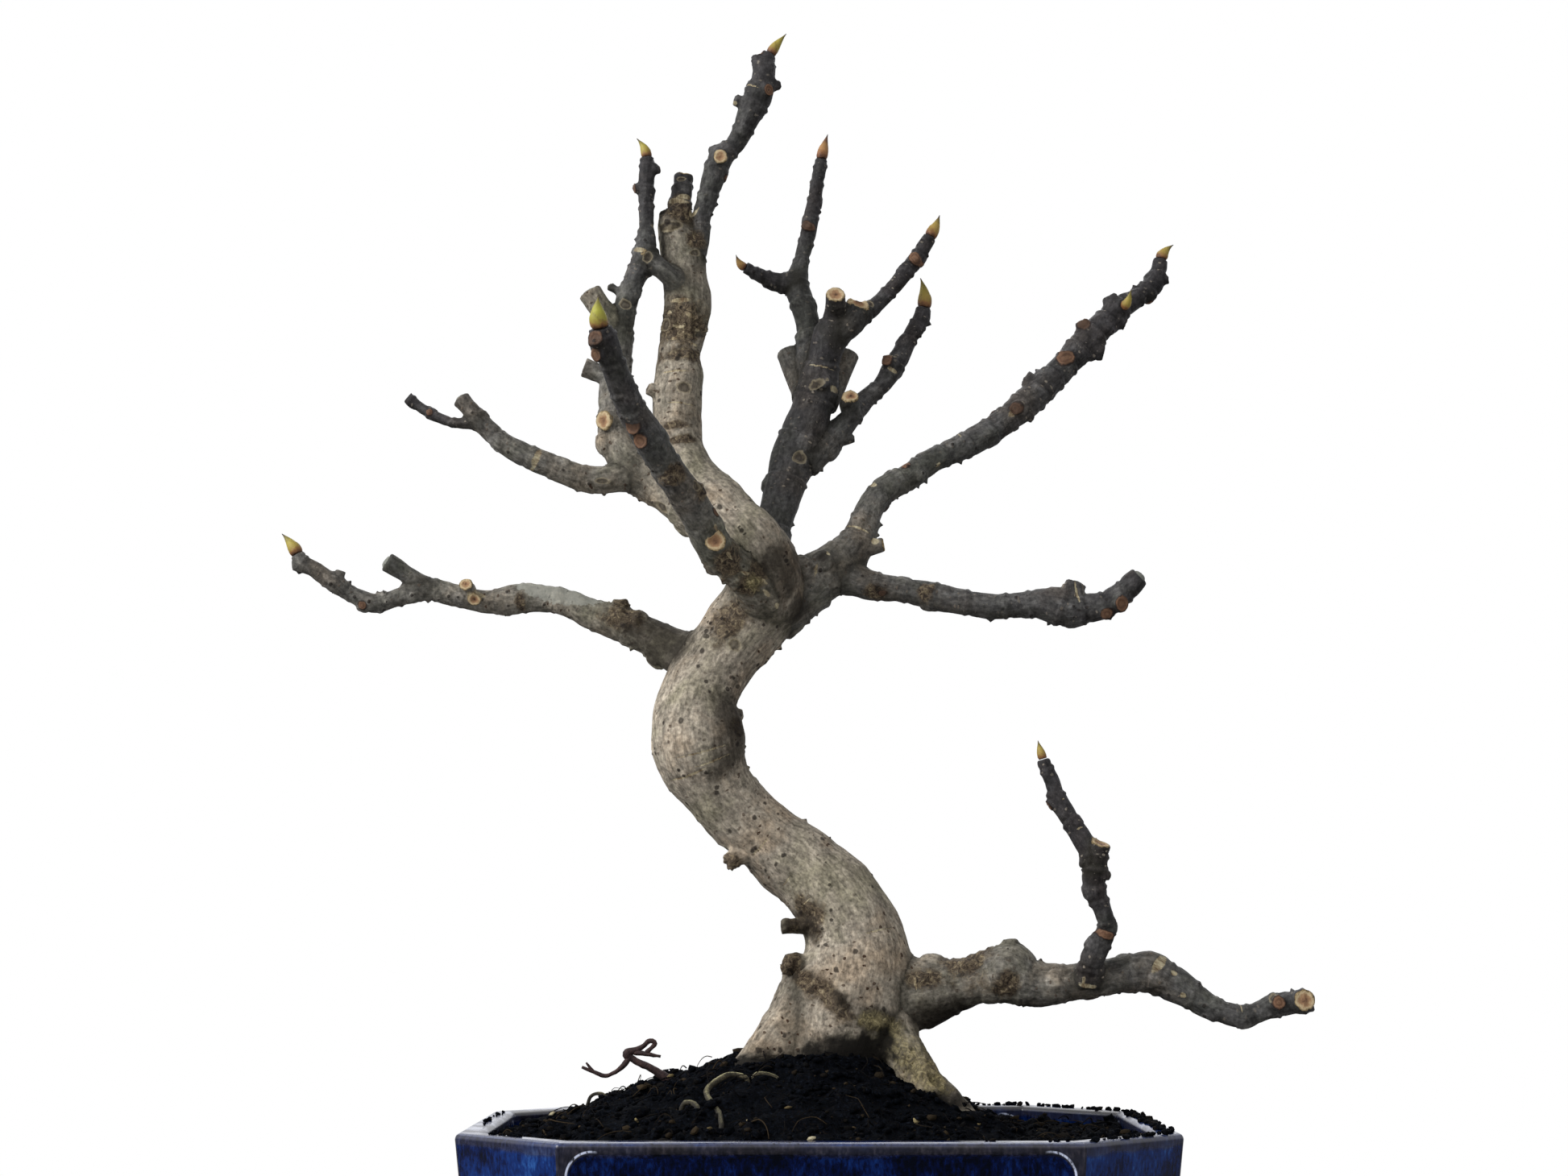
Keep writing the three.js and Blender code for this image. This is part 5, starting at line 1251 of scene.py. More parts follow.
raised = add(nodes, "Bump", {"Height": freckle, "Strength": 0.3, "Distance": 0.2 * MM})
shader = add(nodes, "BsdfPrincipled", {
    "Base Color": colour, "Roughness": 0.6, "Normal": raised, "Specular IOR Level": 0.35})
add(nodes, "OutputMaterial", {"Surface": shader})

for name, bud in BUDS.items():
    rides(hold("fig_" + name, bud_form(bud), bud_skin), "bud_scale", name)
print(len(BUDS), "buds")

# %% [markdown]
# The pot is pressed stoneware: a low eight-sided box whose short corner walls are plain and
# whose four main walls each carry a sunk panel. It could be cut from a block, but its wall is
# one outline that moves in and out as it rises, so the outline is extruded ring by ring, over
# the lip and down inside. The feet are then joined on, and panels and drain holes cut.

# %% Pot: sizes
POT_WIDTH, POT_DEPTH, CORNER_CUT = 240, 178, 37
WALL_HEIGHT, WALL_TAPER, WALL_BELOW = 70, 8, 7
LIP_WIDTH, LIP_ROUND, SHOULDER_DEPTH = 9, 2, 12
FLOOR_THICK, FOOT_HEIGHT, FOOT_LENGTH, FOOT_WIDTH, FOOT_INSET = 8, 8, 26, 12, 11
PANEL_DEPTH, PANEL_MARGIN, PANEL_CORNER, PANEL_BOTTOM = 1.6, 3, 8, -63
PANEL_SLOPE, PANEL_SLOPE_TOP = 2.4, -2.9
DRAIN_RADIUS, DRAIN_X = 11, 52
UNDERSIDE_Z, FLOOR_Z = -WALL_HEIGHT, FLOOR_THICK - WALL_HEIGHT


def taper(z):
    return -z / WALL_HEIGHT * WALL_TAPER


def corner(i, inward, z):
    """Corner i of the pot's outline, with every side moved in by the same distance."""
    x, y = POT_WIDTH / 2 - inward, POT_DEPTH / 2 - inward
    cut_off = CORNER_CUT - (2 - math.sqrt(2)) * inward
    places = [(x, -y + cut_off), (x, y - cut_off), (x - cut_off, y), (-x + cut_off, y),
              (-x, y - cut_off), (-x, -y + cut_off), (-x + cut_off, -y), (x - cut_off, -y)]
    return spot(*places[i], z)


arc = [math.radians(angle) for angle in (0, 22.5, 45, 67.5, 90)]
POT_RINGS = [
    (WALL_TAPER + 1.7, UNDERSIDE_Z), (taper(-68.4) + 0.4, -69.2), (taper(-67.6), -67.6),
    *[(LIP_ROUND * (1 - math.cos(a)) + taper(-LIP_ROUND) * math.cos(a),
       LIP_ROUND * (math.sin(a) - 1)) for a in arc],
    *[(LIP_WIDTH - LIP_ROUND * (1 - math.sin(a)), LIP_ROUND * (math.cos(a) - 1)) for a in arc],
    (taper(-SHOULDER_DEPTH) + WALL_BELOW, -SHOULDER_DEPTH),
    (taper(FLOOR_Z + 3) + WALL_BELOW, FLOOR_Z + 3), (taper(FLOOR_Z) + WALL_BELOW + LIP_ROUND, FLOOR_Z),
]

# %% Pot: wall and floor
pot_form = bmesh.new()
base = pot_form.faces.new([pot_form.verts.new(corner(i, *POT_RINGS[0])) for i in range(8)])
edges = list(base.edges)
for before, after in zip(POT_RINGS, POT_RINGS[1:]):
    verts, edges = verts_and_edges(bmesh.ops.extrude_edge_only(pot_form, edges=edges))
    for vert in verts:
        nearest = min(range(8), key=lambda i: (vert.co - corner(i, *before)).length)
        vert.co = corner(nearest, *after)
bmesh.ops.edgeloop_fill(pot_form, edges=edges)
bmesh.ops.recalc_face_normals(pot_form, faces=pot_form.faces)
pot_piece = hold("glazed_pot", pot_form)
print("pot rings:", len(POT_RINGS))

# %% Pot: feet, panels and drain holes
def slab(corners, depth, place):
    """A prism: a flat outline in millimetres, extruded upwards and then put in place."""
    form = bmesh.new()
    face = form.faces.new([form.verts.new(Vector((x, y, 0)) * MM) for x, y in corners])
    top, _ = verts_and_edges(bmesh.ops.extrude_face_region(form, geom=[face]))
    bmesh.ops.translate(form, verts=top, vec=(0, 0, depth * MM))
    bmesh.ops.recalc_face_normals(form, faces=form.faces)
    bmesh.ops.transform(form, matrix=place, verts=form.verts)
    return form


def foot(sign_x, sign_y):
    a, b = POT_WIDTH / 2 - FOOT_INSET, POT_DEPTH / 2 - FOOT_INSET
    cut_off = CORNER_CUT - (2 - math.sqrt(2)) * FOOT_INSET
    half, inner = FOOT_LENGTH / 2, FOOT_WIDTH
    inner_cut = cut_off - (2 - math.sqrt(2)) * inner
    corners = [
        (a - cut_off - half, b), (a - cut_off - half, b - inner), (a - inner - inner_cut, b - inner),
        (a - inner, b - inner - inner_cut), (a - inner, b - cut_off - half), (a, b - cut_off - half),
        (a, b - cut_off), (a - cut_off, b)]
    place = Matrix.Translation(spot(0, 0, UNDERSIDE_Z - FOOT_HEIGHT))
    return slab([(sign_x * x, sign_y * y) for x, y in corners], FOOT_HEIGHT + FLOOR_THICK / 2, place)


def panel(half_away, face_length, turn):
    """The block that a sunk panel is pressed with: round corners and a sloping edge."""
    x, y = face_length / 2 - PANEL_MARGIN, (PANEL_SLOPE_TOP - PANEL_BOTTOM) / 2
    form = slab([(x, -y), (x, y), (-x, y), (-x, -y)], PANEL_DEPTH, Matrix())
    upright = [edge for edge in form.edges if abs(edge.verts[0].co.z - edge.verts[1].co.z) > MM]
    bmesh.ops.bevel(form, geom=upright, offset=PANEL_CORNER * MM, segments=9, profile=0.5,
                    affect="EDGES", material=-1)
    floor_verts = [vert for vert in form.verts if vert.co.z < 0.5 * MM]
    bmesh.ops.scale(form, verts=floor_verts, vec=(1 - PANEL_SLOPE / x, 1 - PANEL_SLOPE / y, 1))
    outer = [face for face in form.faces if face.calc_center_median().z > 0.9 * PANEL_DEPTH * MM]
    verts, _ = verts_and_edges(bmesh.ops.extrude_face_region(form, geom=outer))
    bmesh.ops.translate(form, verts=verts, vec=(0, 0, LIP_WIDTH * MM))
    bmesh.ops.delete(form, geom=[face for face in outer if face.is_valid], context="FACES_ONLY")
    bmesh.ops.recalc_face_normals(form, faces=form.faces)
    middle_z = (PANEL_SLOPE_TOP + PANEL_BOTTOM) / 2
    lean = math.atan(WALL_TAPER / WALL_HEIGHT)
    away = half_away - taper(middle_z) - PANEL_DEPTH
    place = (Matrix.Translation(RIM) @ Matrix.Rotation(turn, 4, "Z")
             @ Matrix.Translation(Vector((0, -away, middle_z)) * MM)
             @ Matrix.Rotation(math.pi / 2 + lean, 4, "X"))
    bmesh.ops.transform(form, matrix=place, verts=form.verts)
    return form


def cut_or_join(piece, forms, operation):
    """Works a group of solids into a piece, and keeps nothing of them."""
    tools = bmesh.new()
    for form in forms:
        pour(form, tools)
    tool = hold("tool", tools)
    modifier = piece.modifiers.new("work", "BOOLEAN")
    modifier.operation = operation
    modifier.solver = "EXACT"
    modifier.use_self = True
    modifier.object = tool
    settle(piece)
    bpy.data.objects.remove(tool)


long_face, short_face = POT_WIDTH - 2 * CORNER_CUT, POT_DEPTH - 2 * CORNER_CUT
cut_or_join(pot_piece, [foot(x, y) for x, y in ((1, 1), (-1, 1), (-1, -1), (1, -1))], "UNION")
drains = []
for x in (-DRAIN_X, DRAIN_X):
    drain = bmesh.new()
    bmesh.ops.create_cone(
        drain, cap_ends=True, segments=48, radius1=DRAIN_RADIUS * MM, radius2=DRAIN_RADIUS * MM,
        depth=3 * FLOOR_THICK * MM, matrix=Matrix.Translation(spot(x, 0, UNDERSIDE_Z + FLOOR_THICK / 2)))
    drains.append(drain)
cut_or_join(pot_piece, [
    panel(POT_DEPTH / 2, long_face, 0), panel(POT_WIDTH / 2, short_face, math.pi / 2),
    panel(POT_DEPTH / 2, long_face, math.pi), panel(POT_WIDTH / 2, short_face, -math.pi / 2),
    *drains], "DIFFERENCE")
print("pot faces:", len(pot_piece.data.polygons))

# %% [markdown]
# Clay never has a knife edge, and glaze rounds it further. A Bevel modifier softens every
# sharp edge, and Weighted Normals keep the flat walls flat next to it.

# %% Pot: soft edges
EDGE_ROUND = 0.8
clean = bmesh.new()
clean.from_mesh(pot_piece.data)
bmesh.ops.remove_doubles(clean, verts=clean.verts, dist=0.02 * MM)
bmesh.ops.dissolve_limit(clean, angle_limit=math.radians(0.4), verts=clean.verts, edges=clean.edges)
clean.to_mesh(pot_piece.data)
clean.free()
soft = pot_piece.modifiers.new("soft_edges", "BEVEL")
soft.width = EDGE_ROUND * MM
soft.segments = 3
soft.limit_method = "ANGLE"
soft.angle_limit = math.radians(24)
even = pot_piece.modifiers.new("flat_walls", "WEIGHTED_NORMAL")
even.keep_sharp = True
even.weight = 80
pot_mesh = settle(pot_piece)
print("pot faces with soft edges:", len(pot_mesh.polygons))

# %% Pot: thick and thin glaze
ZONES = ("thin", "pooled", "lip", "dusty", "short_side")
zones = {name: np.zeros(len(pot_mesh.polygons)) for name in ZONES}
for index, face in enumerate(pot_mesh.polygons):
    middle = (face.center - RIM) / MM
    moved_in = taper(middle.z)
    from_long = POT_DEPTH / 2 - moved_in - abs(middle.y)
    from_short = POT_WIDTH / 2 - moved_in - abs(middle.x)
    from_corner = (from_long + from_short + moved_in * (2 - math.sqrt(2)) - CORNER_CUT) / math.sqrt(2)
    zones["lip"][index] = min(from_long, from_short, from_corner) < LIP_ROUND and -0.7 < middle.z < -0.03
    zones["dusty"][index] = 0.8 * (face.normal.z > 0.3 and middle.z > -LIP_ROUND and middle.y > 40)
    on_short = from_short < from_long
    zones["short_side"][index] = on_short
    sunk, along, half = ((from_short, abs(middle.y), short_face / 2) if on_short else
                         (from_long, abs(middle.x), long_face / 2))
    if sunk < PANEL_DEPTH + 0.5 and along < half and middle.z < -1:
        zones["pooled" if sunk > 0.35 * PANEL_DEPTH else "thin"][index] = 1
for name, values in zones.items():
    store(pot_mesh, name, values, "FACE")
print({name: int(values.sum()) for name, values in zones.items()}, "faces")

# %% [markdown]
# Cobalt glaze is glass over dark stoneware. Where it lies thick it is deep blue with a lighter
# mottle. On edges it runs thin and the iron of the clay breaks through, brown. The Bevel node
# finds those edges: it gives a rounded normal, which differs from the true one near an edge.
# The feet are left bare, because glaze would stick them to the kiln's shelf.

# %% Cobalt glaze
CLOUD_MM, FLECK_MM, BREAK_MM = 11.1, 1.25, 1.5
BAND_TOP, BAND_BOTTOM = 0.8, -4.8
BARE_FROM, BARE_TO = 7.5, 6.2
glaze, nodes, in_mm = new_material("cobalt_glaze_on_stoneware")
run_down_mm = add(nodes, "VectorMath", {0: in_mm, 1: (1, 1, 0.4)}, operation="MULTIPLY")
cloud = add(nodes, "TexNoise", {"Vector": in_mm, "Scale": 1 / CLOUD_MM, "Detail": 3, "Roughness": 0.5})
fleck = add(nodes, "TexNoise", {"Vector": run_down_mm, "Scale": 1 / FLECK_MM, "Detail": 4,
                                "Roughness": 0.65})
depth = add(nodes, "Math", {0: cloud, 1: fleck}, operation="ADD")
zone = {name: add(nodes, "Attribute", attribute_name=name, out="Fac") for name in ZONES}
half_depth = add(nodes, "Math", {0: depth, 1: 0.5}, operation="MULTIPLY")
pooled = add(nodes, "Math", {0: zone["pooled"], 1: -0.09}, operation="MULTIPLY")
thickness = add(nodes, "Math", {0: half_depth, 1: pooled}, operation="ADD")
blue = add(nodes, "ValToRGB", {"Fac": thickness}, stops=[
    (0.34, "#010411"), (0.43, "#020c32"), (0.57, "#0c2963"), (0.72, "#2a5797")])
true_normal = add(nodes, "NewGeometry", out="Normal")
round_normal = add(nodes, "Bevel", {"Radius": BREAK_MM * MM}, samples=6)
same = add(nodes, "VectorMath", {0: true_normal, 1: round_normal}, operation="DOT_PRODUCT", out="Value")
ragged = add(nodes, "MapRange", {"Value": fleck, "From Min": 0.3, "From Max": 0.7,
                                 "To Min": -0.02, "To Max": 0.02})
same = add(nodes, "Math", {0: same, 1: ragged}, operation="ADD")
edge = add(nodes, "MapRange", {"Value": same, "From Min": 0.975, "From Max": 0.93, "To Max": 0.9},
           **SOFTLY)
height = add(nodes, "SeparateXYZ", {0: in_mm}, out="Z")
below = add(nodes, "MapRange", {
    "Value": height, "From Min": RIM.z / MM + BAND_BOTTOM, "From Max": RIM.z / MM + BAND_TOP,
    "To Min": -1, "To Max": 1}, clamp=False)
wave = add(nodes, "MapRange", {"Value": cloud, "From Min": 0.3, "From Max": 0.7,
                               "To Min": -0.35, "To Max": 0.35})
below = add(nodes, "Math", {0: below, 1: wave}, operation="ADD")
below = add(nodes, "Math", {0: below}, operation="ABSOLUTE")
band = add(nodes, "MapRange", {"Value": below, "From Min": 1.0, "From Max": 0.4, "To Max": 0.6}, **SOFTLY)
framed = add(nodes, "Math", {0: zone["thin"], 1: ragged}, operation="ADD")
framed = add(nodes, "MapRange", {"Value": framed, "From Min": 0.4, "From Max": 1.0, "To Max": 0.85})
thin_glaze = add(nodes, "Math", {0: edge, 1: band}, operation="MAXIMUM")
thin_glaze = add(nodes, "Math", {0: thin_glaze, 1: framed}, operation="MAXIMUM")
broken = add(nodes, "ValToRGB", {"Fac": fleck}, stops=[
    (0.35, "#0f0e10"), (0.5, "#1f1c1d"), (0.68, "#3b342f")])
colour = add(nodes, "Mix", {0: thin_glaze, 6: blue, 7: broken}, **COLOURS)

# %% Cobalt glaze: painted highlights on the lip and on the panels' corner arcs, dust and bare feet
from_rim = add(nodes, "VectorMath", {0: in_mm, 1: tuple(RIM / MM)}, operation="SUBTRACT")
either_side = add(nodes, "VectorMath", {0: from_rim}, operation="ABSOLUTE")
past_turn = [
    add(nodes, "Math", {0: add(nodes, "SeparateXYZ", {0: either_side}, out=axis),
                        1: face_length / 2 - PANEL_MARGIN - PANEL_CORNER}, operation="SUBTRACT")
    for axis, face_length in (("X", long_face), ("Y", short_face))]
along = add(nodes, "Mix", {0: zone["short_side"], 2: past_turn[0], 3: past_turn[1]}, out=0)
rise = add(nodes, "Math", {0: add(nodes, "SeparateXYZ", {0: from_rim}, out="Z"),
                           1: PANEL_CORNER - PANEL_SLOPE_TOP}, operation="ADD")
in_corner = add(nodes, "MapRange", {"Value": add(nodes, "Math", {0: along, 1: rise}, operation="MINIMUM"),
                                    "From Min": -2, "From Max": 1})
from_turn = add(nodes, "VectorMath", {0: add(nodes, "CombineXYZ", {0: along, 1: rise})},
                operation="LENGTH", out="Value")
from_arc = add(nodes, "Math", {0: from_turn, 1: PANEL_CORNER}, operation="SUBTRACT")
from_arc = add(nodes, "Math", {0: from_arc}, operation="ABSOLUTE")
arc = add(nodes, "MapRange", {"Value": from_arc, "From Min": 0.45, "From Max": 0.2})
arc = add(nodes, "Math", {0: arc, 1: in_corner}, operation="MULTIPLY")
in_places = add(nodes, "MapRange", {"Value": fleck, "From Min": 0.34, "From Max": 0.5, "To Max": 0.9})
# Painted highlights: a pale strip on the lip's rounding and pale arcs at the panels' corners.
for highlight_place, highlight_colour in ((zone["lip"], "#454c66"), (arc, "#c9d1ea")):
    painted_highlight = add(nodes, "Math", {0: highlight_place, 1: in_places}, operation="MULTIPLY")
    colour = add(nodes, "Mix", {0: painted_highlight, 6: colour, 7: linear(highlight_colour)}, **COLOURS)
colour = add(nodes, "Mix", {0: zone["dusty"], 6: colour, 7: linear("#2b2826")}, **COLOURS)
bare = add(nodes, "MapRange", {"Value": height, "From Min": BARE_FROM, "From Max": BARE_TO})
stoneware = add(nodes, "ValToRGB", {"Fac": fleck}, stops=[
    (0.35, "#2a1f1a"), (0.5, "#3d2c23"), (0.68, "#574236")])
colour = add(nodes, "Mix", {0: bare, 6: colour, 7: stoneware}, **COLOURS)
dull = add(nodes, "Math", {0: thin_glaze, 1: zone["dusty"]}, operation="MAXIMUM")
sheen = add(nodes, "MapRange", {"Value": dull, "To Min": 0.09, "To Max": 0.45})
sheen = add(nodes, "Mix", {0: bare, 2: sheen, 3: 0.85}, out=0)
orange_peel = add(nodes, "Bump", {"Height": depth, "Strength": 0.25, "Distance": 0.15 * MM})
shader = add(nodes, "BsdfPrincipled", {
    "Base Color": colour, "Roughness": sheen, "Normal": orange_peel, "IOR": 1.52})
add(nodes, "OutputMaterial", {"Surface": shader})
dress(pot_mesh, glaze)
rides(pot_piece, "glaze", "pot")

# %% [markdown]
# The compost is a mound of dark fibrous crumbs. Its large form is one surface, a grid raised
# to the height of the mound and roughened with noise, trimmed to the pot's inside with planes.
# What makes it look loose are the separate crumbs and rootlets that lie on it.

# %% Compost surface
MOUND_TOP, MOUND_PEAK, MOUND_SLOPE, SOIL_EDGE = 25, 33, 0.34, -5
MOUND_X, MOUND_SHORT_SIDE, MOUND_SQUASH = 2, 0.62, 0.8
HEAP_X, HEAP_Y, HEAP_HEIGHT, HEAP_WIDTH = 58, -31, 6, 8
GROOVE_X, GROOVE_Y, GROOVE_DEPTH, GROOVE_WIDTH = -24, -30, 2.2, 9
SOIL_GRID, SOIL_CLEARANCE, SOIL_SKIRT = 1.3, 0.4, 11


def mound(x, y):
    """Height of the compost over the rim, in millimetres."""
    across = np.where(x < MOUND_X, x - MOUND_X, (x - MOUND_X) / MOUND_SHORT_SIDE)
    slope = np.minimum(MOUND_TOP, MOUND_PEAK - MOUND_SLOPE * np.hypot(across, y / MOUND_SQUASH))
    swell = (1.1 * np.sin(0.31 * x + 1.7 * np.sin(0.17 * y)) * np.sin(0.37 * y + 0.8)
             + 0.9 * np.sin(0.13 * x - 0.21 * y + 2.1))
    heap = HEAP_HEIGHT * bump(np.hypot(x - HEAP_X, y - HEAP_Y), HEAP_WIDTH)
    return np.maximum(SOIL_EDGE, slope) + swell + heap


def rough_mound(x, y):
    """The same height with clods on it, and with a groove under the arched root."""
    flat = np.stack([x, y, np.zeros_like(x)], -1)
    clods = 1.3 * rumple(flat, 6.5) + 0.9 * rumple(flat + 40, 3.1) + 0.5 * rumple(flat + 90, 1.6)
    under_arch = (x > -42) & (x < -8) & (y > -60) & (y < -26)
    groove = bump(y - GROOVE_Y + 0.4 * np.abs(x - GROOVE_X), GROOVE_WIDTH)
    return mound(x, y) + clods - GROOVE_DEPTH * under_arch * groove


soil_form = bmesh.new()
bmesh.ops.create_grid(soil_form, x_segments=round(POT_WIDTH / SOIL_GRID),
                      y_segments=round(POT_DEPTH / SOIL_GRID), size=1,
                      matrix=Matrix.Translation(RIM) @ Matrix.Diagonal(
                          (POT_WIDTH / 2 * MM, POT_DEPTH / 2 * MM, 1, 1)))
for i in range(8):
    start, stop = (corner(j % 8, LIP_WIDTH + SOIL_CLEARANCE, 0) for j in (i, i + 1))
    outward = (stop - start).cross(Vector((0, 0, 1)))
    bmesh.ops.bisect_plane(soil_form, geom=[*soil_form.verts, *soil_form.edges, *soil_form.faces],
                           plane_co=start, plane_no=outward, clear_outer=True)
flat_places = np.array([(vert.co - RIM)[:2] for vert in soil_form.verts]) / MM
heights = rough_mound(flat_places[:, 0], flat_places[:, 1])
for vert, height in zip(soil_form.verts, heights):
    vert.co.z = RIM.z + float(height) * MM
rim_edges = [edge for edge in soil_form.edges if edge.is_boundary]
verts, edges = verts_and_edges(bmesh.ops.extrude_edge_only(soil_form, edges=rim_edges))
for vert in verts:
    vert.co.z = RIM.z - SOIL_SKIRT * MM
bmesh.ops.edgeloop_fill(soil_form, edges=edges)
bmesh.ops.recalc_face_normals(soil_form, faces=soil_form.faces)
print("compost surface:", len(soil_form.faces), "faces")

# %% [markdown]
# Damp compost is almost black, rough and without shine; bark chips and dry fibres in it are
# brown. One material serves surface and crumbs: each crumb carries a tint from 0, black,
# through brown to 1, the cream of a dry chip.

# %% Compost material
CRUMB_MM, TURN_MM, THREAD_MM = 1.25, 9.1, 1.11
compost, nodes, in_mm = new_material("damp_potting_compost")
tint = add(nodes, "Attribute", attribute_name="tint", out="Fac")
crumbly = add(nodes, "TexNoise", {"Vector": in_mm, "Scale": 1 / CRUMB_MM, "Detail": 5, "Roughness": 0.7})
turned = add(nodes, "TexNoise", {"Vector": in_mm, "Scale": 1 / TURN_MM, "Detail": 2}, out="Color")
stringy_mm = add(nodes, "VectorMath", {0: turned, 1: (30, 30, 30), 2: in_mm}, operation="MULTIPLY_ADD")
stringy_mm = add(nodes, "VectorMath", {0: stringy_mm, 1: (0.15, 1, 0.6)}, operation="MULTIPLY")
stringy = add(nodes, "TexNoise", {"Vector": stringy_mm, "Scale": 1 / THREAD_MM, "Detail": 3})
damp = add(nodes, "ValToRGB", {"Fac": crumbly}, stops=[
    (0.3, "#010203"), (0.48, "#050609"), (0.6, "#0c0f15"), (0.72, "#22262f")])
thread = add(nodes, "MapRange", {"Value": stringy, "From Min": 0.6, "From Max": 0.7, "To Max": 0.5})
damp = add(nodes, "Mix", {0: thread, 6: damp, 7: linear("#211b15")}, **COLOURS)
chip = add(nodes, "ValToRGB", {"Fac": tint}, stops=[
    (0.0, "#0a0a09"), (0.35, "#1c1916"), (0.6, "#463b2c"), (0.8, "#8a7c58"), (1.0, "#bdb396")])
is_chip = add(nodes, "MapRange", {"Value": tint, "From Min": 0.1, "From Max": 0.4})
colour = add(nodes, "Mix", {0: is_chip, 6: damp, 7: chip}, **COLOURS)
height = add(nodes, "Math", {0: crumbly, 1: stringy}, operation="ADD")
raised = add(nodes, "Bump", {"Height": height, "Strength": 0.9, "Distance": 0.7 * MM})
shader = add(nodes, "BsdfPrincipled", {
    "Base Color": colour, "Roughness": 0.95, "Normal": raised, "Specular IOR Level": 0.03})
add(nodes, "OutputMaterial", {"Surface": shader})
rides(hold("compost_mound", soil_form, compost), "compost", "soil")

# %% [markdown]
# A crumb is a tiny lump of few faces, stretched and turned at random from one of a dozen
# moulds. Thousands lie on the mound, more in front than at the back and few under the arched
# root, and a sprinkling on the rim, where watering and repotting have left them. The chips
# that show in the photo are placed by a line of sight, like the marks: each row holds a
# column and a row of the photo, a size and a tint.

# %% Crumbs
crumb_draw = random.Random(21)
MOULDS = []
for _ in range(12):
    mould = bmesh.new()
    mould.verts.layers.float.new("tint")
    bmesh.ops.create_icosphere(mould, subdivisions=1, radius=MM)
    for vert in mould.verts:
        vert.co *= crumb_draw.uniform(0.65, 1.25)
    mesh = bpy.data.meshes.new("mould")
    mould.to_mesh(mesh)
    mould.free()
    MOULDS.append(mesh)


def drop(whole, place, size, tint, long=1.6, flat=0.7):
    """Adds one crumb to a bmesh: place in metres, size in millimetres."""
    mesh = crumb_draw.choice(MOULDS).copy()
    spread = Matrix.Diagonal((size * crumb_draw.uniform(1, long), size, size * flat, 1))
    spin = Matrix.Rotation(crumb_draw.uniform(0, 6.28), 4, "Z")
    tip_over = Matrix.Rotation(crumb_draw.uniform(-0.9, 0.9), 4, "X")
    mesh.transform(Matrix.Translation(place) @ spin @ tip_over @ spread)
    mesh.attributes["tint"].data.foreach_set("value", [tint] * len(mesh.vertices))
    whole.from_mesh(mesh)
    bpy.data.meshes.remove(mesh)


def in_pot(x, y, inward):
    """Whether a place lies inside the pot's outline moved in by a distance."""
    cut_off = CORNER_CUT - (2 - math.sqrt(2)) * inward
    x, y = POT_WIDTH / 2 - inward - abs(x), POT_DEPTH / 2 - inward - abs(y)
    return x > 0 and y > 0 and x + y > cut_off


TRUNK_X, TRUNK_Y, TRUNK_HALF_WIDE, TRUNK_HALF_DEEP = 4, 1, 20, 17


def off_the_trunk(x, y):
    """Whether a place on the compost lies outside the foot of the trunk."""
    return math.hypot((x - TRUNK_X) / TRUNK_HALF_WIDE, (y - TRUNK_Y) / TRUNK_HALF_DEEP) >= 1


SOIL_INSET = LIP_WIDTH + 1.5
CRUMB_COUNT = 4200
crumbs_form = bmesh.new()
crumbs_form.verts.layers.float.new("tint")
dropped = 0
while dropped < CRUMB_COUNT:
    x, y = crumb_draw.uniform(-110, 110), crumb_draw.uniform(-80, 80)
    if crumb_draw.random() < 0.35:
        y = -abs(y)
    if not (in_pot(x, y, SOIL_INSET) and off_the_trunk(x, y)):
        continue
    if -38 < x < -10 and -66 < y < -29 and crumb_draw.random() < 0.75:
        continue
    size = 0.35 + (1.5 + 0.9 * (dropped % 7 == 0)) * crumb_draw.random() ** 3
    z = float(rough_mound(np.array([x]), np.array([y]))[0]) + 0.25 * size
    tint = 0.0 if crumb_draw.random() < 0.82 else crumb_draw.uniform(0.15, 0.5)
    drop(crumbs_form, spot(x, y, z), size, tint)
    dropped += 1
print("crumbs on the mound:", dropped)

# %% Chips that stand out in the photo
CHIPS = [
    (1137, 1392, 1.6, 0.82), (790, 1392, 1.1, 0.8), (1008, 1414, 1.7, 1.0), (780, 1400, 1.0, 0.95),
    (685, 1384, 1.2, 0.95), (978, 1376, 1.2, 0.66), (655, 1384, 1.1, 0.68), (797, 1351, 2.4, 0.55),
    (830, 1338, 2.0, 0.78), (930, 1392, 0.8, 0.9), (1060, 1402, 0.9, 0.6), (880, 1402, 0.9, 0.7),
    (1215, 1396, 0.9, 0.7), (1290, 1404, 0.8, 0.8), (720, 1400, 0.8, 0.6),
]
graph = bpy.context.evaluated_depsgraph_get()
mound_hull = BVHTree.FromObject(bpy.data.objects["compost_mound"], graph)
for column, row, size, tint in CHIPS:
    place, _, _, _ = mound_hull.ray_cast(camera.location, sight_line(column, row))
    if place is not None:
        drop(crumbs_form, place + Vector((0, 0, 0.3 * MM)), size, tint, long=1.3, flat=0.5)
rides(hold("compost_crumbs", crumbs_form, compost), "compost")

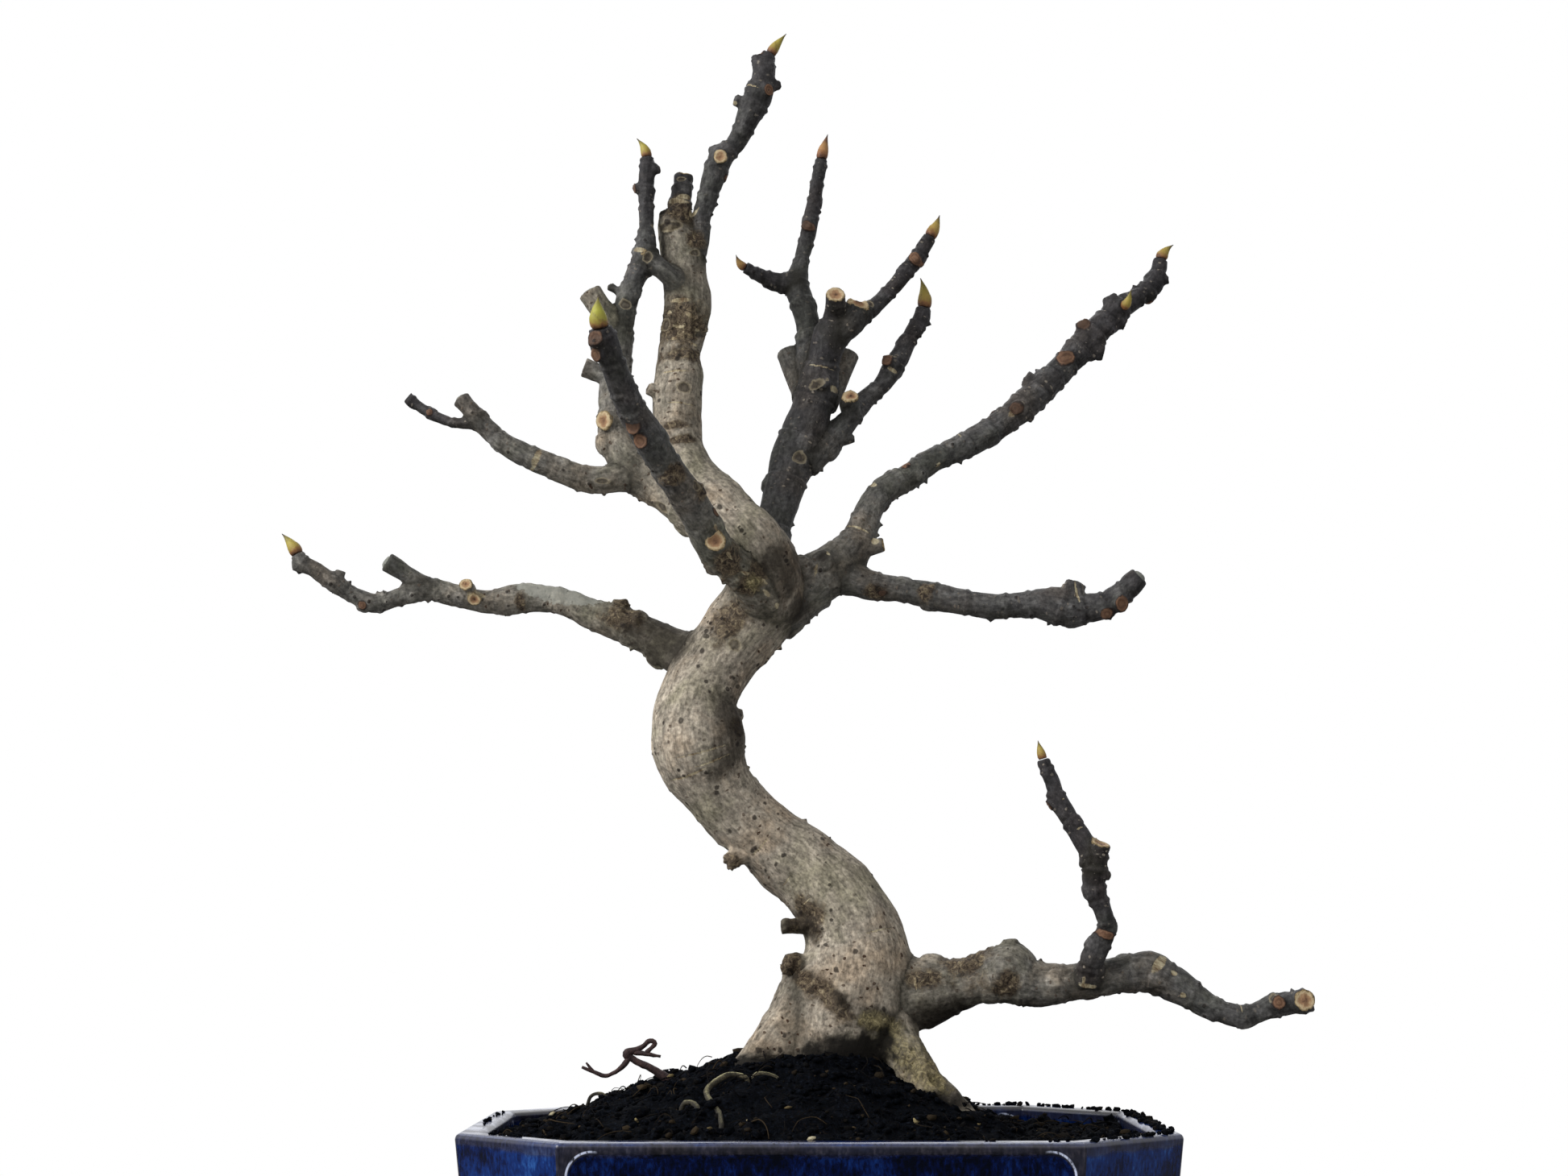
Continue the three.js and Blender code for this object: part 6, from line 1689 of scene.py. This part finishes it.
# %% Crumbs on the rim
rim_draw = random.Random(8)
rim_form = bmesh.new()
rim_form.verts.layers.float.new("tint")
RIM_RUNS = [
    ((115.5, -44), (115.5, 44), 170, 2.6), ((115.5, -50), (86, -84.6), 70, 2.4),
    ((84, -84.6), (46, -84.6), 9, 2.0), ((115.5, 48), (84, 84.6), 50, 2.2),
    ((80, 84.6), (20, 84.6), 60, 2.0), ((-108, -56), (-96, -68), 24, 2.2),
    ((-115.5, -20), (-115.5, 44), 16, 1.8), ((-40, 84.6), (-78, 84.6), 10, 1.6),
]
for start, stop, count, spread in RIM_RUNS:
    for _ in range(count):
        share = rim_draw.random()
        x, y = (a + (b - a) * share + rim_draw.gauss(0, spread / 2) for a, b in zip(start, stop))
        if in_pot(x, y, 0.8) and not in_pot(x, y, LIP_WIDTH - 0.6):
            size = 0.35 + 1.0 * rim_draw.random() ** 2
            drop(rim_form, spot(x, y, 0.35 * size + 0.1), size, 0.0 if rim_draw.random() < 0.75 else 0.35)
rides(hold("rim_litter", rim_form, compost), "compost", "rim_crumbs")
for mesh in MOULDS:
    bpy.data.meshes.remove(mesh)

# %% [markdown]
# Loose roots arch out of the compost. They are swept like the limbs, on the routes of the
# solid model but at seven tenths of its thickness, because a dry root shrinks. The dead root
# forks, so it has a route for each prong. Rootlets, thinner than a match, lie between the
# crumbs.

# %% Routes of the loose roots
SURFACE_ROOTS = {
    "surface_root_arch": [
        (-23.4, -33, 12.5, 1.1), (-24.6, -33, 16.8, 1.3), (-30, -34, 17.8, 1.4), (-35, -37, 15.4, 1.5),
        (-37.4, -41, 12.8, 1.5), (-35.8, -48, 9.8, 1.4), (-33, -56, 7, 1.3), (-32, -62, 4, 1.2),
        (-32, -65, -1, 1)],
    "surface_root_loop": [
        (-23, -29, 12, 1), (-21.6, -31, 17.4, 1.1), (-17.6, -31, 18, 1.1), (-13.6, -31, 16.2, 1),
        (-12.6, -31, 11, 0.9)],
    "surface_root_stub": [
        (-46.4, -46, 3, 1), (-44.8, -47, 9, 1.2), (-41.6, -49.4, 9.4, 1.3), (-39.8, -53, 7.4, 1.3),
        (-39.2, -57, 1.4, 1.1)],
    "surface_root_left": [
        (-82, 4, 1, 0.8), (-79.6, 3, 8.2, 0.9), (-76, 2, 9.4, 0.9), (-73.6, 1, 7.6, 0.9),
        (-72.6, 1, 3, 0.8)],
}
DRY_ROOTS = [
    [(-46, -3, 8, 2.2), (-51, -4, 13.6, 2), (-57, -5, 18, 1.4), (-64, -5, 21.4, 1.2),
     (-66.4, -5, 23.6, 1.6), (-62, -5, 25.4, 0.9), (-58.4, -6, 28, 0.9), (-56.6, -6, 27, 0.8),
     (-59.6, -6, 24, 0.8)],
    [(-65, -5, 22.6, 1.2), (-68.6, -6, 18.6, 0.8), (-73.6, -6, 16, 0.75), (-78, -6, 17.4, 0.65),
     (-82, -6, 19, 0.5)],
    [(-78, -6, 17.4, 0.6), (-80.6, -6, 20.6, 0.35)],
    [(-63.8, -5, 24, 0.9), (-59, -6, 23.4, 0.8), (-54.6, -6, 22.6, 0.5)],
]

# %% [markdown]
# Root skin is dry and dull. Its top is lighter, a painted highlight, and it grows darker towards the
# compost.
# The dead root has lost its skin, so it shows red-brown wood with dark pores. Both are worn
# in patches, so one function starts both.

# %% Root skin and dead wood
def worn_material(name, patch_mm, pore_mm, stops):
    """A new material with a worn pattern: its nodes, places in mm, pattern and colour."""
    material, nodes, in_mm = new_material(name)
    worn = add(nodes, "TexNoise", {"Vector": in_mm, "Scale": 1 / patch_mm, "Detail": 5, "Roughness": 0.7})
    pore = add(nodes, "TexNoise", {"Vector": in_mm, "Scale": 1 / pore_mm, "Detail": 3, "Roughness": 0.7})
    patch = add(nodes, "Math", {0: worn, 1: pore}, operation="ADD")
    patch = add(nodes, "Math", {0: patch, 1: 0.5}, operation="MULTIPLY")
    return material, nodes, in_mm, patch, add(nodes, "ValToRGB", {"Fac": patch}, stops=stops)


DARKENING_TOP, DARKENING_BOTTOM = 15, 7
root_skin, nodes, in_mm, patch, colour = worn_material(
    "dry_root_skin", patch_mm=2.86, pore_mm=0.455, stops=[
        (0.36, "#15130e"), (0.46, "#2e2a20"), (0.56, "#504a39"), (0.7, "#7d7660")])
# Painted highlight: skin that faces up is lighter.
painted_top_light = add(nodes, "ValToRGB", {"Fac": patch}, stops=[
    (0.4, "#37321f"), (0.49, "#7d7756"), (0.6, "#c2bc92")])
upward = add(nodes, "SeparateXYZ", {0: add(nodes, "NewGeometry", out="Normal")}, out="Z")
on_top = add(nodes, "MapRange", {"Value": upward, "From Min": 0.6, "From Max": 1.0})
colour = add(nodes, "Mix", {0: on_top, 6: colour, 7: painted_top_light}, **COLOURS)
# Darker towards the compost.
low_down = add(nodes, "MapRange", {
    "Value": add(nodes, "SeparateXYZ", {0: in_mm}, out="Z"), "From Min": RIM.z / MM + DARKENING_TOP,
    "From Max": RIM.z / MM + DARKENING_BOTTOM, "To Max": 0.75})
colour = add(nodes, "Mix", {0: low_down, 6: colour, 7: linear("#191713")}, **COLOURS)
raised = add(nodes, "Bump", {"Height": patch, "Strength": 0.7, "Distance": 0.4 * MM})
shader = add(nodes, "BsdfPrincipled", {
    "Base Color": colour, "Roughness": 0.8, "Normal": raised, "Specular IOR Level": 0.3})
add(nodes, "OutputMaterial", {"Surface": shader})

dead_wood, nodes, _, patch, colour = worn_material(
    "dead_root_wood", patch_mm=2, pore_mm=0.385, stops=[
        (0.34, "#120c0c"), (0.46, "#271a1b"), (0.56, "#3c2926"), (0.7, "#5e4a3f")])
raised = add(nodes, "Bump", {"Height": patch, "Strength": 0.8, "Distance": 0.4 * MM})
shader = add(nodes, "BsdfPrincipled", {
    "Base Color": colour, "Roughness": 0.75, "Normal": raised, "Specular IOR Level": 0.3})
add(nodes, "OutputMaterial", {"Surface": shader})

# %% Loose roots
def gnarled(routes, sides, lumps_mm):
    """A bmesh of tubes along routes, with their skin pushed in and out by noise."""
    form = bmesh.new()
    for route in routes:
        swept(smooth_path(route, 0.6), sides, form)
    bmesh.ops.recalc_face_normals(form, faces=form.faces)
    form.normal_update()
    places = np.array([(vert.co - RIM) / MM for vert in form.verts])
    push = lumps_mm * (rumple(places, 1.3) + 0.6 * rumple(places, 3.1))
    for vert, amount in zip(form.verts, push):
        vert.co += vert.normal * float(amount) * MM
    return form


ROOT_SIDES, SHRUNK = 12, 0.7
for name, route in SURFACE_ROOTS.items():
    thinner = [(x, y, z, SHRUNK * radius) for x, y, z, radius in route]
    root_form = gnarled([thinner], ROOT_SIDES, 0.14)
    rides(hold(name.replace("surface", "loose"), root_form, root_skin), "root_skin", name)
dry_form = gnarled(DRY_ROOTS, ROOT_SIDES, 0.16)
rides(hold("dry_forked_root", dry_form, dead_wood), "dead_wood", "dry_root")
print(len(SURFACE_ROOTS), "loose roots and a dead one")

# %% Rootlets between the crumbs
rootlet_draw = random.Random(31)
ROOTLET_COUNT = 260
rootlet_form = bmesh.new()
rootlet_form.verts.layers.float.new("tint")
for number in range(ROOTLET_COUNT):
    x, y = rootlet_draw.uniform(-104, 104), rootlet_draw.uniform(-76, 60)
    heading, bend = rootlet_draw.uniform(0, 6.28), rootlet_draw.uniform(-0.5, 0.5)
    length, thickness = rootlet_draw.uniform(4, 14), rootlet_draw.uniform(0.12, 0.34)
    lift = rootlet_draw.uniform(0.2, 2.2)
    route = []
    for step in range(5):
        if in_pot(x, y, SOIL_INSET):
            z = float(mound(np.array([x]), np.array([y]))[0]) + 1.2 + lift * math.sin(step * 0.8)
            route.append((x, y, z, thickness * (1 - 0.12 * step)))
        x += math.cos(heading) * length / 4
        y += math.sin(heading) * length / 4
        heading += bend
    if len(route) > 2 and off_the_trunk(x, y):
        shade = rootlet_draw.choice((0.2, 0.2, 0.3, 0.4, 0.5))
        swept(smooth_path(route, 2.4), 5, rootlet_form, shade)
rides(hold("rootlets", rootlet_form, compost), "compost")
print(ROOTLET_COUNT, "rootlets drawn")

# %% [markdown]
# The drain screens and their wires keep the shapes of the solid model. The screen is black
# woven plastic, and the wire soft bare aluminium, dulled by water.

# %% Screen and wire
DUST_MM, TARNISH_MM = 2.86, 1.11
mesh_plastic, nodes, in_mm = new_material("black_polyethylene_mesh")
dust = add(nodes, "TexNoise", {"Vector": in_mm, "Scale": 1 / DUST_MM, "Detail": 4})
colour = add(nodes, "ValToRGB", {"Fac": dust}, stops=[(0.4, "#101010"), (0.7, "#2b2825")])
shader = add(nodes, "BsdfPrincipled", {"Base Color": colour, "Roughness": 0.5})
add(nodes, "OutputMaterial", {"Surface": shader})
wire_metal, nodes, in_mm = new_material("dull_aluminium_wire")
tarnish = add(nodes, "TexNoise", {"Vector": in_mm, "Scale": 1 / TARNISH_MM, "Detail": 4})
colour = add(nodes, "ValToRGB", {"Fac": tarnish}, stops=[(0.35, "#8f8a84"), (0.7, "#c9c5bf")])
dulled = add(nodes, "MapRange", {"Value": tarnish, "To Min": 0.3, "To Max": 0.6})
shader = add(nodes, "BsdfPrincipled", {"Base Color": colour, "Metallic": 1.0, "Roughness": dulled})
add(nodes, "OutputMaterial", {"Surface": shader})
for side in ("left", "right"):
    for node, finish in (("drain_screen_", mesh_plastic), ("screen_wire_", wire_metal)):
        for material_slot in bpy.data.objects[node + side].material_slots:
            material_slot.material = finish
